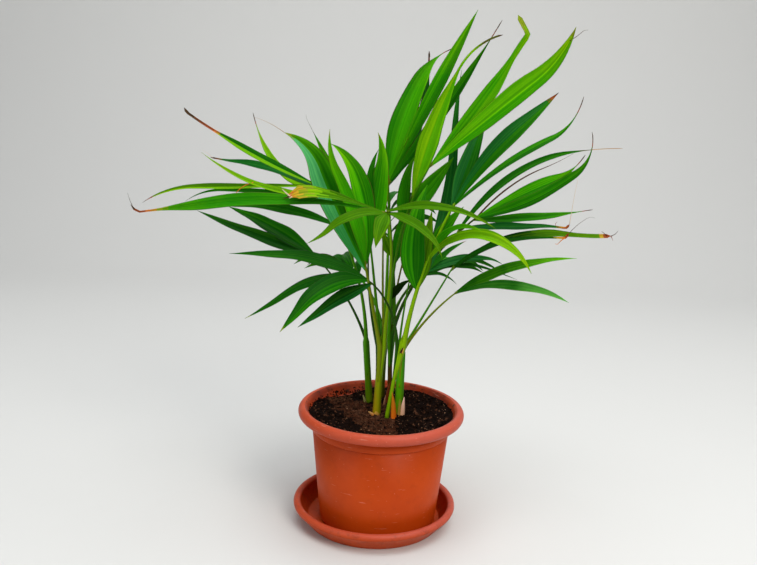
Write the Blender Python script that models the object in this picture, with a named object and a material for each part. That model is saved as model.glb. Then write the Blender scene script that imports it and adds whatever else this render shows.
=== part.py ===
"""Potted areca palm: a clump of young stems in a round plastic pot that stands on its saucer.

Metres, +Z up. The origin is the centre of the saucer's flat underside, +X is the clump's right
side and +Y its back. Lengths in the frond tables are in millimetres and angles in degrees.
"""
import math
from collections import namedtuple

import bmesh
import bpy
from mathutils import Quaternion, Vector

MM = 0.001
CLEARANCE = 0.3 * MM
ROUND_SIDES = 48

# Saucer
SAUCER_FOOT_RADIUS = 66.5 * MM
SAUCER_LIP_RADIUS = 76.0 * MM
SAUCER_LIP_HEIGHT = 16.8 * MM
SAUCER_LIP_ROLL = 3.5 * MM
SAUCER_WALL = 2.2 * MM

# Pot: its foot stands in the saucer a little to the right of the middle
POT_CENTRE_X = 3.5 * MM
POT_FOOT_RADIUS = 57.2 * MM
POT_FOOT_ROUNDING = 3.0 * MM
POT_BODY_RADIUS = 66.0 * MM
POT_COLLAR_RADIUS = 66.9 * MM
POT_COLLAR_BOTTOM = 94.5 * MM
POT_COLLAR_TOP = 105.6 * MM
POT_RIM_RADIUS = 75.3 * MM
POT_RIM_HEIGHT = 111.0 * MM
POT_RIM_HALF_WIDTH = 4.8 * MM
POT_RIM_HALF_HEIGHT = 5.3 * MM
POT_WALL = 1.8 * MM
POT_THROAT_DEPTH = 8.0 * MM

# Soil: level round the stems, a little lower at the pot's wall
SOIL_TOP = 110.4 * MM
SOIL_LEVEL_RADIUS = 44.0 * MM
SOIL_EDGE_DROP = 0.6 * MM

# Stems: foot on the soil (x, y), lean towards a heading, and the radii at foot, waist and top
Stem = namedtuple("Stem", "foot heading lean height foot_radius waist_radius top_radius")
STEMS = {
    "left": Stem((-8.5, 26), 170, 5, 61, 3.6, 3.2, 4.6),
    "middle": Stem((-1, -8), 65, 4, 66, 3.9, 3.3, 5.6),
    "back": Stem((12, 33), 247, 5, 69, 2.6, 2.2, 5.2),
    "front": Stem((9, -16), 355, 8, 70, 2.1, 1.8, 5.0),
    "right": Stem((20.5, -4), 88, 3, 60, 3.2, 3.9, 4.8),
    "rear": Stem((3, 42), 307, 2, 71, 3.6, 3.2, 5.0),
}
STEM_SIDES = 10
STEM_RINGS = 6
STEM_FLARE = 0.5

# Dry sheaths at the foot of the clump: foot (x, y), heading, lean, height and width
Sheath = namedtuple("Sheath", "foot heading lean height width")
SHEATHS = {
    "orange": Sheath((15.5, -18), 180, 1, 27, 6.4),
    "pale": Sheath((24.5, -8.5), 60, 6, 17, 4.4),
}
SHEATH_STATIONS = 5
SHEATH_THICKNESS = 1.2 * MM
SHEATH_FOLD = -0.25

# Fronds. A heading turns from +X towards +Y, a lift is the rise above level at the root, and a
# droop is how far that rise has fallen by the tip. A seat is where the stalk stands on its stem's
# top, and a girth is how thick it is. The blades open towards the heading and lift in opens.
Frond = namedtuple("Frond", "stem seat heading turn lift droop length girth opens leaflets")
# Leaflets: share along the stalk, heading, lift, droop, curl of the last stretch, length, width
# and roll about the leaflet's own midline
Leaflet = namedtuple("Leaflet", "share heading lift droop curl length width roll")

CROWN = [
    (0.98, 30, 83, 34, -33, 148, 19, 0),
    (0.94, 60, 68, 21, 0, 100, 11, 40),
    (0.94, 50, 40, -54, 0, 143, 11, 30),
    (0.96, 5, 66, 3, 0, 178, 13, 10),
    (0.95, -20, 52, -7, 0, 181, 10, -10),
]
UP_RIGHT = [
    (0.77, 10, 81, 23, -38, 178, 15, 0),
    (0.61, 110, 74, -70, 0, 77, 12, 0),
    (0.98, -20, 47, -19, -12, 158, 15, 10),
    (0.97, -28, 42, 4, 33, 176, 19, 0),
    (0.69, -15, 38, -42, 0, 57, 17, 20),
    (0.40, 30, 78, 7, 0, 75, 15, 0),
    (0.20, -30, 66, 39, 0, 31, 8, 0),
]
RIGHT_BACK = [
    (0.78, 25, 57, 71, 14, 215, 7, 20),
    (0.95, 20, 49, 41, 20, 117, 5, 0),
    (0.94, -5, 33, 11, 40, 117, 13, 0),
    (0.94, -20, 3, -68, 40, 152, 10, 0),
    (0.92, 10, 0, -9, 0, 119, 8, 0),
    (0.85, -5, 3, 1, -10, 99, 6, 0),
]
RIGHT = [
    (0.93, 10, 41, 66, 27, 167, 9, 0),
    (0.96, -10, 45, 57, 14, 117, 6, 0),
]
FRONT = [
    (0.98, -15, 22, 53, 0, 98, 9, 0),
    (0.97, -45, 1, 43, -26, 75, 10, 0),
    (0.97, -110, -24, 43, 0, 38, 14, 0),
    (0.96, -160, 15, 80, 43, 76, 8, 0),
    (0.97, 175, 9, 28, 10, 232, 13, 0),
    (0.96, 178, 21, 18, -35, 90, 15, 0),
    (0.64, 200, 61, -17, 0, 25, 9, 0),
]
LEFT_UPRIGHT = [
    (0.88, -160, 66, 10, -22, 149, 26, 0),
    (0.94, 160, 71, 12, 0, 144, 13, 0),
    (0.97, -140, 78, 30, 48, 132, 13, 4),
    (0.95, -165, 98, 44, -26, 122, 14, 6),
]
LEFT_INNER = [
    (0.97, 0, 81, -6, 26, 101, 19, 5),
    (0.95, 45, 99, 19, -25, 88, 12, 0),
]
LEFT_BACK = [
    (0.95, 165, 20, -9, 3, 152, 9, 0),
    (0.92, 150, 22, 31, 14, 135, 9, 0),
    (0.88, -170, -2, -41, 0, 121, 7, 0),
    (0.93, 130, -7, -72, 0, 141, 7, 0),
    (0.94, 180, -2, 2, -32, 169, 6, 0),
    (0.86, 170, 4, 8, -31, 142, 6, 0),
    (0.68, 160, 17, 34, 4, 167, 8, 0),
]
LEFT_LOW = [
    (0.98, 165, 13, -6, 0, 133, 12, 0),
    (0.97, 150, 26, 16, 0, 118, 15, 0),
]
LEFT_FRONT = [
    (0.97, -170, 31, 43, 12, 127, 13, 0),
    (0.98, -165, 17, 72, 31, 118, 10, 0),
    (0.98, -145, 18, 90, 25, 101, 16, 0),
    (0.92, -155, -17, 22, 8, 78, 14, 0),
]
RIGHT_FRONT = [
    (0.39, -130, 61, -64, 0, 102, 18, 0),
    (0.40, 60, 40, -73, -38, 216, 14, 0),
    (0.96, 60, 53, 0, -9, 108, 15, 0),
    (0.97, 15, 60, 28, 10, 141, 16, 0),
    (0.97, 30, 38, 25, 64, 180, 7, 0),
    (0.58, -35, 59, 110, 0, 123, 9, 0),
    (0.67, -60, 51, 59, 0, 83, 9, 0),
    (0.66, 0, 67, 20, 0, 50, 12, 0),
    (0.39, 150, 101, 5, 0, 68, 12, 0),
]
RIGHT_INNER = [
    (0.97, 40, 33, 27, 0, 56, 5, 0),
    (0.97, 25, 23, 44, -14, 94, 9, 0),
    (0.98, 20, 20, 58, 18, 106, 5, 0),
    (0.87, 15, 25, 75, 0, 43, 5, 0),
]
RIGHT_LOW = [
    (0.97, -15, 38, 33, 0, 113, 11, 5),
    (0.96, -30, 28, 47, 0, 109, 11, -4),
]


# The rear fronds carry even pairs of leaflets from the first share to the last, one side of each
# pair a little lower than the other
FIRST_PAIR = 0.70
LAST_PAIR = 0.97
PAIR_STAGGER = 0.015
PAIR_LIFT = 36
LAST_PAIR_LIFT = 26
PAIR_DROOP = 66
PAIR_ROLL = 12
PAIR_CLOSING = 0.7
END_PAIR_LENGTH = 0.81
MIDDLE_PAIR_GAIN = 0.77


def paired_leaflets(heading, pairs, longest, width, spread):
    """Leaflets in pairs along a stalk: the lower ones spread wide, the last ones point ahead."""
    rows = []
    for index in range(pairs):
        along = index / (pairs - 1)
        aside = spread * (1 - PAIR_CLOSING * along)
        lift = PAIR_LIFT + (LAST_PAIR_LIFT - PAIR_LIFT) * along
        length = longest * (END_PAIR_LENGTH + MIDDLE_PAIR_GAIN * along * (1 - along))
        for side in (-1, 1):
            share = FIRST_PAIR + (LAST_PAIR - FIRST_PAIR) * along - (PAIR_STAGGER if side > 0 else 0)
            rows.append((share, heading + side * aside, lift, PAIR_DROOP, 0, length, width,
                         side * PAIR_ROLL))
    return rows


FRONDS = {
    "crown": Frond("back", 5, -103, -160, 88, 8, 156, 0.85, (-90, 25), CROWN),
    "up_right": Frond("back", 245, -82, 50, 91, 34, 183, 0.8, (-90, 35), UP_RIGHT),
    "right_back": Frond("back", 302, -31, 50, 77, 42, 154, 0.8, (-80, 45), RIGHT_BACK),
    "right": Frond("right", 90, 12, 0, 60, -1, 97, 0.75, (-80, 50), RIGHT),
    "front": Frond("middle", 324, -65, -45, 87, 35, 150, 1.0, (-90, 45), FRONT),
    "left_upright": Frond("middle", 252, -165, 0, 78, 0, 85, 0.9, (-90, 25), LEFT_UPRIGHT),
    "left_inner": Frond("middle", 108, 160, 0, 83, 2, 104, 0.75, (-90, 25), LEFT_INNER),
    "left_back": Frond("left", 270, 175, 0, 88, 37, 173, 0.9, (-95, 45), LEFT_BACK),
    "left_low": Frond("left", 90, 160, 0, 68, 28, 101, 0.75, (-95, 50), LEFT_LOW),
    "left_front": Frond("front", 180, -135, 0, 85, 52, 83, 0.8, (-95, 45), LEFT_FRONT),
    "right_front": Frond("front", 0, -24, 30, 83, 19, 144, 1.35, (-85, 35), RIGHT_FRONT),
    "right_inner": Frond("back", 63, 30, 0, 91, 67, 75, 0.75, (-80, 55), RIGHT_INNER),
    "right_low": Frond("right", 270, -36, 0, 60, 19, 91, 0.75, (-80, 50), RIGHT_LOW),
    "rear": Frond("rear", 90, 90, 0, 86, 34, 135, 1.0, (90, 50),
                  paired_leaflets(90, 4, 105, 15, 42)),
    "rear_left": Frond("rear", 180, 126, 0, 70, 70, 92, 0.9, (120, 50),
                       paired_leaflets(126, 3, 80, 13, 36)),
    "rear_right": Frond("rear", 0, 48, 0, 70, 70, 96, 0.9, (60, 50),
                        paired_leaflets(48, 3, 90, 13, 36)),
}
# Spears: young fronds that are still rolled up into a thin point
SPEARS = {
    "left": Frond("middle", 180, 170, 0, 75, -19, 116, 0.7, (-90, 25), []),
    "middle": Frond("middle", 36, 120, 0, 81, -8, 115, 0.75, (-90, 25), []),
    "back": Frond("back", 120, 50, 0, 80, 13, 113, 0.65, (-90, 25), []),
    "right": Frond("right", 180, 10, 0, 87, 7, 79, 0.65, (-90, 25), []),
}
STALK_FOOT_RADIUS = 1.9 * MM
STALK_TIP_RADIUS = 0.9 * MM
STALK_SEAT_INSET = 2.0 * MM
STALK_SIDES = 6
STALK_RINGS = 10
LEAFLET_STATIONS = 8
LEAFLET_THICKNESS_SHARE = 1 / 80
LEAFLET_FOLD = 0.30
FOLD_GROWTH = 4
LEAFLET_WIDEST = 0.36
LEAFLET_ROOT_SHARE = 0.24
LEAFLET_TAPER = 1.7
CURL_START = 0.7


def clear_scene():
    for thing in list(bpy.data.objects):
        bpy.data.objects.remove(thing, do_unlink=True)


def finish(name, colour, roughness, metallic=0.0):
    """A plain Principled material."""
    material = bpy.data.materials.new(name)
    material.use_nodes = True
    shader = material.node_tree.nodes["Principled BSDF"]
    shader.inputs["Base Color"].default_value = (*colour, 1.0)
    shader.inputs["Roughness"].default_value = roughness
    shader.inputs["Metallic"].default_value = metallic
    return material


def add_object(name, mesh, material, smooth_angle=40):
    """Links a mesh as an object of its own, smooth but for its sharp edges."""
    mesh.materials.append(material)
    mesh.shade_smooth()
    mesh.set_sharp_from_angle(angle=math.radians(smooth_angle))
    thing = bpy.data.objects.new(name, mesh)
    bpy.context.scene.collection.objects.link(thing)
    return thing


def mesh_from(bm, name):
    """Turns a bmesh into a mesh whose faces point out."""
    bmesh.ops.recalc_face_normals(bm, faces=bm.faces)
    mesh = bpy.data.meshes.new(name)
    bm.to_mesh(mesh)
    bm.free()
    return mesh


def arc(centre, radii, start, end, steps):
    """Points (radius, height) of an elliptical arc, both ends included."""
    angles = [math.radians(start + (end - start) * i / steps) for i in range(steps + 1)]
    return [(centre[0] + radii[0] * math.cos(a), centre[1] + radii[1] * math.sin(a)) for a in angles]


def turned_mesh(name, profile):
    """Turns a profile of (radius, height) points, from axis to axis, about the upright axis."""
    bm = bmesh.new()
    verts = [bm.verts.new((radius, 0.0, height)) for radius, height in profile]
    edges = [bm.edges.new(pair) for pair in zip(verts, verts[1:])]
    bmesh.ops.spin(bm, geom=verts + edges, cent=(0, 0, 0), axis=(0, 0, 1),
                   angle=math.tau, steps=ROUND_SIDES, use_merge=True)
    bmesh.ops.remove_doubles(bm, verts=bm.verts, dist=0.00001)
    return mesh_from(bm, name)


def direction(heading, lift):
    """The unit vector with this heading and lift, in degrees."""
    turn, rise = math.radians(heading), math.radians(lift)
    return Vector((math.cos(rise) * math.cos(turn), math.cos(rise) * math.sin(turn), math.sin(rise)))


def arching_path(start, heading, turn, lift, droop, curl, length, steps):
    """Points along a stalk or a midline that bends evenly down, and curls over its last stretch."""
    points = [start.copy()]
    for i in range(steps):
        along = (i + 0.5) / steps
        end_bend = curl * max(0.0, (along - CURL_START) / (1 - CURL_START))
        step = direction(heading + turn * along, lift - droop * along + end_bend)
        points.append(points[-1] + step * (length / steps))
    return points


def tangents(points):
    """The direction of the path at each of its points."""
    ahead = points[1:] + points[-1:]
    behind = points[:1] + points[:-1]
    return [(b - a).normalized() for a, b in zip(behind, ahead)]


def tube_mesh(name, points, radii, sides):
    """A closed tapering tube along a path, whose foot is cut level."""
    bm = bmesh.new()
    rings = []
    side = Vector((1, 0, 0))
    for index, (point, along, radius) in enumerate(zip(points, tangents(points), radii)):
        axis = Vector((0, 0, 1)) if index == 0 else along
        side = (side - axis * side.dot(axis)).normalized()
        other = axis.cross(side)
        angles = [math.tau * i / sides for i in range(sides)]
        rings.append([bm.verts.new(point + (side * math.cos(a) + other * math.sin(a)) * radius)
                      for a in angles])
    for low, high in zip(rings, rings[1:]):
        for i in range(sides):
            bm.faces.new((low[i], low[i - 1], high[i - 1], high[i]))
    bm.faces.new(rings[0])
    bm.faces.new(rings[-1])
    return mesh_from(bm, name)


def blade_share(along):
    """How wide a leaflet is at a share of its length, of its greatest width."""
    if along < LEAFLET_WIDEST:
        swell = math.sin(along / LEAFLET_WIDEST * math.pi / 2)
        return LEAFLET_ROOT_SHARE + (1 - LEAFLET_ROOT_SHARE) * swell
    return 1.0 - ((along - LEAFLET_WIDEST) / (1 - LEAFLET_WIDEST)) ** LEAFLET_TAPER


def blade_mesh(name, points, width, thickness, opens, roll, fold):
    """A leaflet: a thin blade folded along its midline, pointed at the tip."""
    bm = bmesh.new()
    rings = []
    last = len(points) - 1
    for index, (point, along) in enumerate(zip(points, tangents(points))):
        if index == last:
            break
        upper = (opens - along * opens.dot(along)).normalized()
        upper.rotate(Quaternion(along, math.radians(roll)))
        across = along.cross(upper)
        share = blade_share(index / last)
        half = width * share / 2
        thick = thickness * math.sqrt(share) / 2
        rise = upper * (half * fold / 2 * min(1.0, FOLD_GROWTH * index / last))
        rings.append([bm.verts.new(place) for place in (
            point + across * half + rise, point - rise + upper * thick,
            point - across * half + rise, point - rise - upper * thick)])
    tip = bm.verts.new(points[-1])
    # Both sides of a half are split along the same diagonal, so a bent blade's sides never cross
    for low, high in zip(rings, rings[1:]):
        for edge in (0, 2):
            above, below = edge + 1, edge - 1
            bm.faces.new((low[edge], low[above], high[above]))
            bm.faces.new((low[edge], high[above], high[edge]))
            bm.faces.new((low[below], low[edge], high[below]))
            bm.faces.new((low[edge], high[edge], high[below]))
    for i in range(4):
        bm.faces.new((rings[-1][i - 1], rings[-1][i], tip))
    bm.faces.new(rings[0])
    return mesh_from(bm, name)


def joined(base, others, name):
    """Fuses loose shapes onto a base with one union, and removes them.

    The solver is the one for closed meshes, because the exact one leaves open seams where two
    thin blades cross at a stalk.
    """
    group = bpy.data.collections.new(name)
    bpy.context.scene.collection.children.link(group)
    for thing in others:
        bpy.context.scene.collection.objects.unlink(thing)
        group.objects.link(thing)
    union = base.modifiers.new("Leaflets", "BOOLEAN")
    union.operation = "UNION"
    union.operand_type = "COLLECTION"
    union.collection = group
    union.solver = "MANIFOLD"
    graph = bpy.context.evaluated_depsgraph_get()
    mesh = bpy.data.meshes.new_from_object(base.evaluated_get(graph))
    mesh.name = name
    base.modifiers.clear()
    base.data = mesh
    for thing in others:
        bpy.data.objects.remove(thing, do_unlink=True)
    bpy.data.collections.remove(group)
    return base


def make_saucer(material):
    """A shallow round dish with a rolled lip and a flat underside."""
    lip = (SAUCER_LIP_RADIUS, SAUCER_LIP_HEIGHT)
    roll = (SAUCER_LIP_ROLL, SAUCER_LIP_ROLL)
    profile = [(0, 0), (SAUCER_FOOT_RADIUS, 0)]
    profile += arc(lip, roll, -55, 215, 8)
    profile += [(SAUCER_FOOT_RADIUS - 1.0 * MM, SAUCER_WALL), (0, SAUCER_WALL)]
    return add_object("saucer", turned_mesh("saucer", profile), material)


def pot_inner_radius(height):
    """The radius of the pot's inner wall below its throat."""
    share = height / POT_COLLAR_TOP
    return POT_FOOT_RADIUS + (POT_BODY_RADIUS - POT_FOOT_RADIUS) * share - POT_WALL


def make_pot(material):
    """A tapering plastic pot: round foot, plain body, a collar under the rim and a rolled rim."""
    base = SAUCER_WALL + CLEARANCE
    rim = (POT_RIM_RADIUS, POT_RIM_HEIGHT)
    roll = (POT_RIM_HALF_WIDTH, POT_RIM_HALF_HEIGHT)
    throat = POT_RIM_HEIGHT - POT_THROAT_DEPTH
    foot = (POT_FOOT_RADIUS - POT_FOOT_ROUNDING, base + POT_FOOT_ROUNDING)
    profile = [(0, base)]
    profile += arc(foot, (POT_FOOT_ROUNDING, POT_FOOT_ROUNDING), -90, 0, 3)
    profile += [(POT_BODY_RADIUS, POT_COLLAR_BOTTOM - 0.8 * MM)]
    profile += [(POT_COLLAR_RADIUS, POT_COLLAR_BOTTOM)]
    profile += [(POT_COLLAR_RADIUS, POT_COLLAR_TOP)]
    profile += arc(rim, roll, -110, 170, 9)
    profile += [(pot_inner_radius(throat), throat)]
    profile += [(pot_inner_radius(base + POT_WALL), base + POT_WALL), (0, base + POT_WALL)]
    pot = add_object("pot", turned_mesh("pot", profile), material)
    pot.location.x = POT_CENTRE_X
    return pot


def make_soil(material):
    """The soil that fills the pot, with a level top round the stems."""
    base = SAUCER_WALL + 2 * CLEARANCE + POT_WALL
    throat = POT_RIM_HEIGHT - POT_THROAT_DEPTH
    edge = SOIL_TOP - SOIL_EDGE_DROP
    rim_inner = POT_RIM_RADIUS - POT_RIM_HALF_WIDTH
    slope = (rim_inner - pot_inner_radius(throat)) / POT_THROAT_DEPTH
    edge_radius = pot_inner_radius(throat) + slope * (edge - throat) - 2 * CLEARANCE
    profile = [(0, base), (pot_inner_radius(base) - CLEARANCE, base)]
    profile += [(pot_inner_radius(throat) - CLEARANCE, throat)]
    profile += [(edge_radius, edge)]
    profile += [(SOIL_LEVEL_RADIUS, SOIL_TOP), (0, SOIL_TOP)]
    soil = add_object("soil", turned_mesh("soil", profile), material)
    soil.location.x = POT_CENTRE_X
    return soil


def stem_path(stem):
    """The stem's midline: it stands up from the soil and bends a little along its lean."""
    foot = Vector((stem.foot[0] * MM, stem.foot[1] * MM, SOIL_TOP + CLEARANCE))
    length = stem.height * MM / math.cos(math.radians(stem.lean))
    return arching_path(foot, stem.heading, 0, 90 - stem.lean, 0, 0, length, STEM_RINGS)


def stem_radius(stem, along):
    """Flared at the foot, slim at the waist, and swollen where the stalks part."""
    flare = (stem.foot_radius - stem.waist_radius) * max(0.0, 1 - along / STEM_FLARE) ** 2
    swell = (stem.top_radius - stem.waist_radius) * along ** 3
    return (stem.waist_radius + flare + swell) * MM


def make_stem(name, stem, material):
    """One green stem of sheaths, cut flat at the soil and level at its top."""
    points = stem_path(stem)
    radii = [stem_radius(stem, i / STEM_RINGS) for i in range(STEM_RINGS + 1)]
    mesh = tube_mesh(name, points, radii, STEM_SIDES)
    top = max(vert.co.z for vert in mesh.vertices)
    for vert in mesh.vertices[-STEM_SIDES:]:
        vert.co.z = top
    return add_object(name, mesh, material)


def make_frond(name, frond, material):
    """A stalk that stands on its stem, with its leaflets fused on."""
    stem = STEMS[frond.stem]
    stem_object = bpy.data.objects["stem_" + frond.stem]
    top = max(vert.co.z for vert in stem_object.data.vertices)
    seat = stem_path(stem)[-1] + direction(frond.seat, 0) * (stem.top_radius * MM - STALK_SEAT_INSET)
    seat.z = top + CLEARANCE
    stalk = arching_path(seat, frond.heading, frond.turn, frond.lift, frond.droop, 0,
                         frond.length * MM, STALK_RINGS)
    radii = [frond.girth * (STALK_FOOT_RADIUS + (STALK_TIP_RADIUS - STALK_FOOT_RADIUS) * i / STALK_RINGS)
             for i in range(STALK_RINGS + 1)]
    base = add_object(name, tube_mesh(name, stalk, radii, STALK_SIDES), material)
    opens = direction(*frond.opens)
    blades = []
    for index, row in enumerate(frond.leaflets):
        leaflet = Leaflet(*row)
        place = leaflet.share * STALK_RINGS
        low = min(int(place), STALK_RINGS - 1)
        root = stalk[low].lerp(stalk[low + 1], place - low)
        length = leaflet.length * MM
        points = arching_path(root, leaflet.heading, 0, leaflet.lift, leaflet.droop,
                              leaflet.curl, length, LEAFLET_STATIONS)
        blade = blade_mesh(name + "_leaflet", points, leaflet.width * MM,
                           length * LEAFLET_THICKNESS_SHARE, opens, leaflet.roll, LEAFLET_FOLD)
        blades.append(add_object(f"{name}_leaflet_{index}", blade, material))
    return joined(base, blades, name) if blades else base


def make_sheath(name, sheath, material):
    """A dry scale that stands on the soil against the stems."""
    foot = Vector((sheath.foot[0] * MM, sheath.foot[1] * MM, SOIL_TOP + CLEARANCE))
    points = arching_path(foot, sheath.heading, 0, 90 - sheath.lean, 0, 0,
                          sheath.height * MM, SHEATH_STATIONS)
    mesh = blade_mesh(name, points, sheath.width * MM, SHEATH_THICKNESS,
                      Vector((0, -1, 0)), 0, SHEATH_FOLD)
    for vert in mesh.vertices[:4]:
        vert.co.z = SOIL_TOP + CLEARANCE
    return add_object(name, mesh, material)


clear_scene()
terracotta = finish("terracotta_plastic", (0.50, 0.075, 0.022), 0.42)
earth = finish("potting_soil", (0.022, 0.012, 0.007), 0.95)
green_stem = finish("stem_green", (0.14, 0.26, 0.01), 0.4)
leaf_green = finish("leaf_green", (0.035, 0.24, 0.006), 0.38)
dry_orange = finish("dry_sheath", (0.50, 0.13, 0.01), 0.6)
dry_pale = finish("pale_sheath", (0.62, 0.42, 0.28), 0.6)

make_saucer(terracotta)
make_pot(terracotta)
make_soil(earth)
for stem_name, stem_sizes in STEMS.items():
    make_stem("stem_" + stem_name, stem_sizes, green_stem)
make_sheath("sheath_orange", SHEATHS["orange"], dry_orange)
make_sheath("sheath_pale", SHEATHS["pale"], dry_pale)
for frond_name, frond_sizes in FRONDS.items():
    make_frond("frond_" + frond_name, frond_sizes, leaf_green)
for spear_name, spear_sizes in SPEARS.items():
    make_frond("spear_" + spear_name, spear_sizes, leaf_green)
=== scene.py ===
"""The looks of a potted areca palm: a clump of young stems in a round plastic pot on its saucer."""
import math
import random
from collections import namedtuple

import bpy
from mathutils import Matrix, Quaternion, Vector, noise


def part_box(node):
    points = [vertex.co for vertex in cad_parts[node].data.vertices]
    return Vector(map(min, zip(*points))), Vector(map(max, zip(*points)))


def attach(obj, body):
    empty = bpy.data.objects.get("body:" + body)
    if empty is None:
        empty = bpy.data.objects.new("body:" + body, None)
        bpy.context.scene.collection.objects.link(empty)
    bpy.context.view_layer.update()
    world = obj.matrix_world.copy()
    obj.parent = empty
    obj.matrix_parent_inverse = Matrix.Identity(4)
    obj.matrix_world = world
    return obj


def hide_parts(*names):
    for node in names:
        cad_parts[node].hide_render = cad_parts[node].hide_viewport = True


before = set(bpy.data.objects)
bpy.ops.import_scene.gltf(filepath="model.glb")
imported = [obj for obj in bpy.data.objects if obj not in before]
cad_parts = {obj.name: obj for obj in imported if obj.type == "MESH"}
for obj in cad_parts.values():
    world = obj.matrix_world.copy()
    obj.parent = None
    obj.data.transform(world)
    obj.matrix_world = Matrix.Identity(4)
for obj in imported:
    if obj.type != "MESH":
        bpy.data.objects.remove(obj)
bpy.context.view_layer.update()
MM = 0.001
scene = bpy.context.scene


# The saucer is one injection moulding in terracotta-coloured plastic: a flat foot, a slanting wall
# and a lip rolled over outwards. It stands loose under the pot, and a little dirt lies in it.
def new_mesh(name, verts, faces, materials, face_slots=None, smooth=True):
    """A mesh object that rides on the plant's one body."""
    mesh = bpy.data.meshes.new(name)
    mesh.from_pydata(verts, [], faces)
    for material in materials:
        mesh.materials.append(material)
    if face_slots:
        mesh.polygons.foreach_set("material_index", face_slots)
    mesh.polygons.foreach_set("use_smooth", [smooth] * len(mesh.polygons))
    mesh.update()
    thing = bpy.data.objects.new(name, mesh)
    scene.collection.objects.link(thing)
    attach(thing, "root")
    return thing


def arc(centre, radii, start, end, steps):
    """Points (radius, height) of an elliptical arc, both ends included."""
    angles = [math.radians(start + (end - start) * i / steps) for i in range(steps + 1)]
    return [(centre[0] + radii[0] * math.cos(a), centre[1] + radii[1] * math.sin(a)) for a in angles]


def turned(name, profile, centre_x, sides, material):
    """Turns a profile of (radius, height) points, from axis to axis, about the upright axis."""
    verts = []
    faces = []
    inner = profile[1:-1]
    for i in range(sides):
        angle = math.tau * i / sides
        verts += [(centre_x + r * math.cos(angle), r * math.sin(angle), z) for r, z in inner]
    count = len(inner)
    low = len(verts)
    verts += [(centre_x, 0, profile[0][1]), (centre_x, 0, profile[-1][1])]
    for i in range(sides):
        here, there = i * count, (i + 1) % sides * count
        faces.append((low, there, here))
        faces += [(here + k, there + k, there + k + 1, here + k + 1) for k in range(count - 1)]
        faces.append((low + 1, here + count - 1, there + count - 1))
    return new_mesh(name, verts, faces, [material])


def node_group(name, inputs, outputs):
    """An empty shader group with named sockets, and its input and output nodes."""
    group = bpy.data.node_groups.new(name, "ShaderNodeTree")
    for label, kind, value in inputs:
        socket = group.interface.new_socket(label, in_out="INPUT", socket_type=kind)
        socket.default_value = value
    for label, kind in outputs:
        group.interface.new_socket(label, in_out="OUTPUT", socket_type=kind)
    return group, group.nodes.new("NodeGroupInput"), group.nodes.new("NodeGroupOutput")


def maths(tree, operation, first, second):
    """The result of one sum on two sockets or numbers."""
    node = tree.nodes.new("ShaderNodeMath")
    node.operation = operation
    for socket, source in zip(node.inputs, (first, second)):
        if isinstance(source, (int, float)):
            socket.default_value = source
        else:
            tree.links.new(source, socket)
    return node.outputs[0]


def stretched(tree, coordinates, scale):
    node = tree.nodes.new("ShaderNodeMapping")
    node.inputs["Scale"].default_value = scale
    tree.links.new(coordinates, node.inputs["Vector"])
    return node.outputs["Vector"]


def grain(tree, coordinates, scale, detail=4.0, roughness=0.55):
    """A cloudy noise value, finer with a larger scale."""
    node = tree.nodes.new("ShaderNodeTexNoise")
    tree.links.new(coordinates, node.inputs["Vector"])
    node.inputs["Scale"].default_value = scale
    node.inputs["Detail"].default_value = detail
    node.inputs["Roughness"].default_value = roughness
    return node.outputs["Fac"]


def ramp(tree, source, low, high, from_value=0.0, to_value=1.0):
    """Maps a value from low..high to from_value..to_value, clamped."""
    node = tree.nodes.new("ShaderNodeMapRange")
    for label, value in (("Value", source), ("From Min", low), ("From Max", high),
                         ("To Min", from_value), ("To Max", to_value)):
        if isinstance(value, (int, float)):
            node.inputs[label].default_value = value
        else:
            tree.links.new(value, node.inputs[label])
    return node.outputs["Result"]


def blend_colour(tree, factor, first, second):
    node = tree.nodes.new("ShaderNodeMix")
    node.data_type = "RGBA"
    tree.links.new(factor, node.inputs["Factor"])
    tree.links.new(first, node.inputs["A"])
    tree.links.new(second, node.inputs["B"])
    return node.outputs["Result"]


def bumped(tree, height, strength, distance):
    node = tree.nodes.new("ShaderNodeBump")
    node.inputs["Strength"].default_value = strength
    node.inputs["Distance"].default_value = distance
    tree.links.new(height, node.inputs["Height"])
    return node.outputs["Normal"]


def part_of(tree, place, axis):
    node = tree.nodes.new("ShaderNodeSeparateXYZ")
    tree.links.new(place, node.inputs["Vector"])
    return node.outputs[axis]


def colour(value):
    return (*value, 1.0)


SHADED_SIDE = -70 * MM
SUNNY_SIDE = 40 * MM


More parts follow.
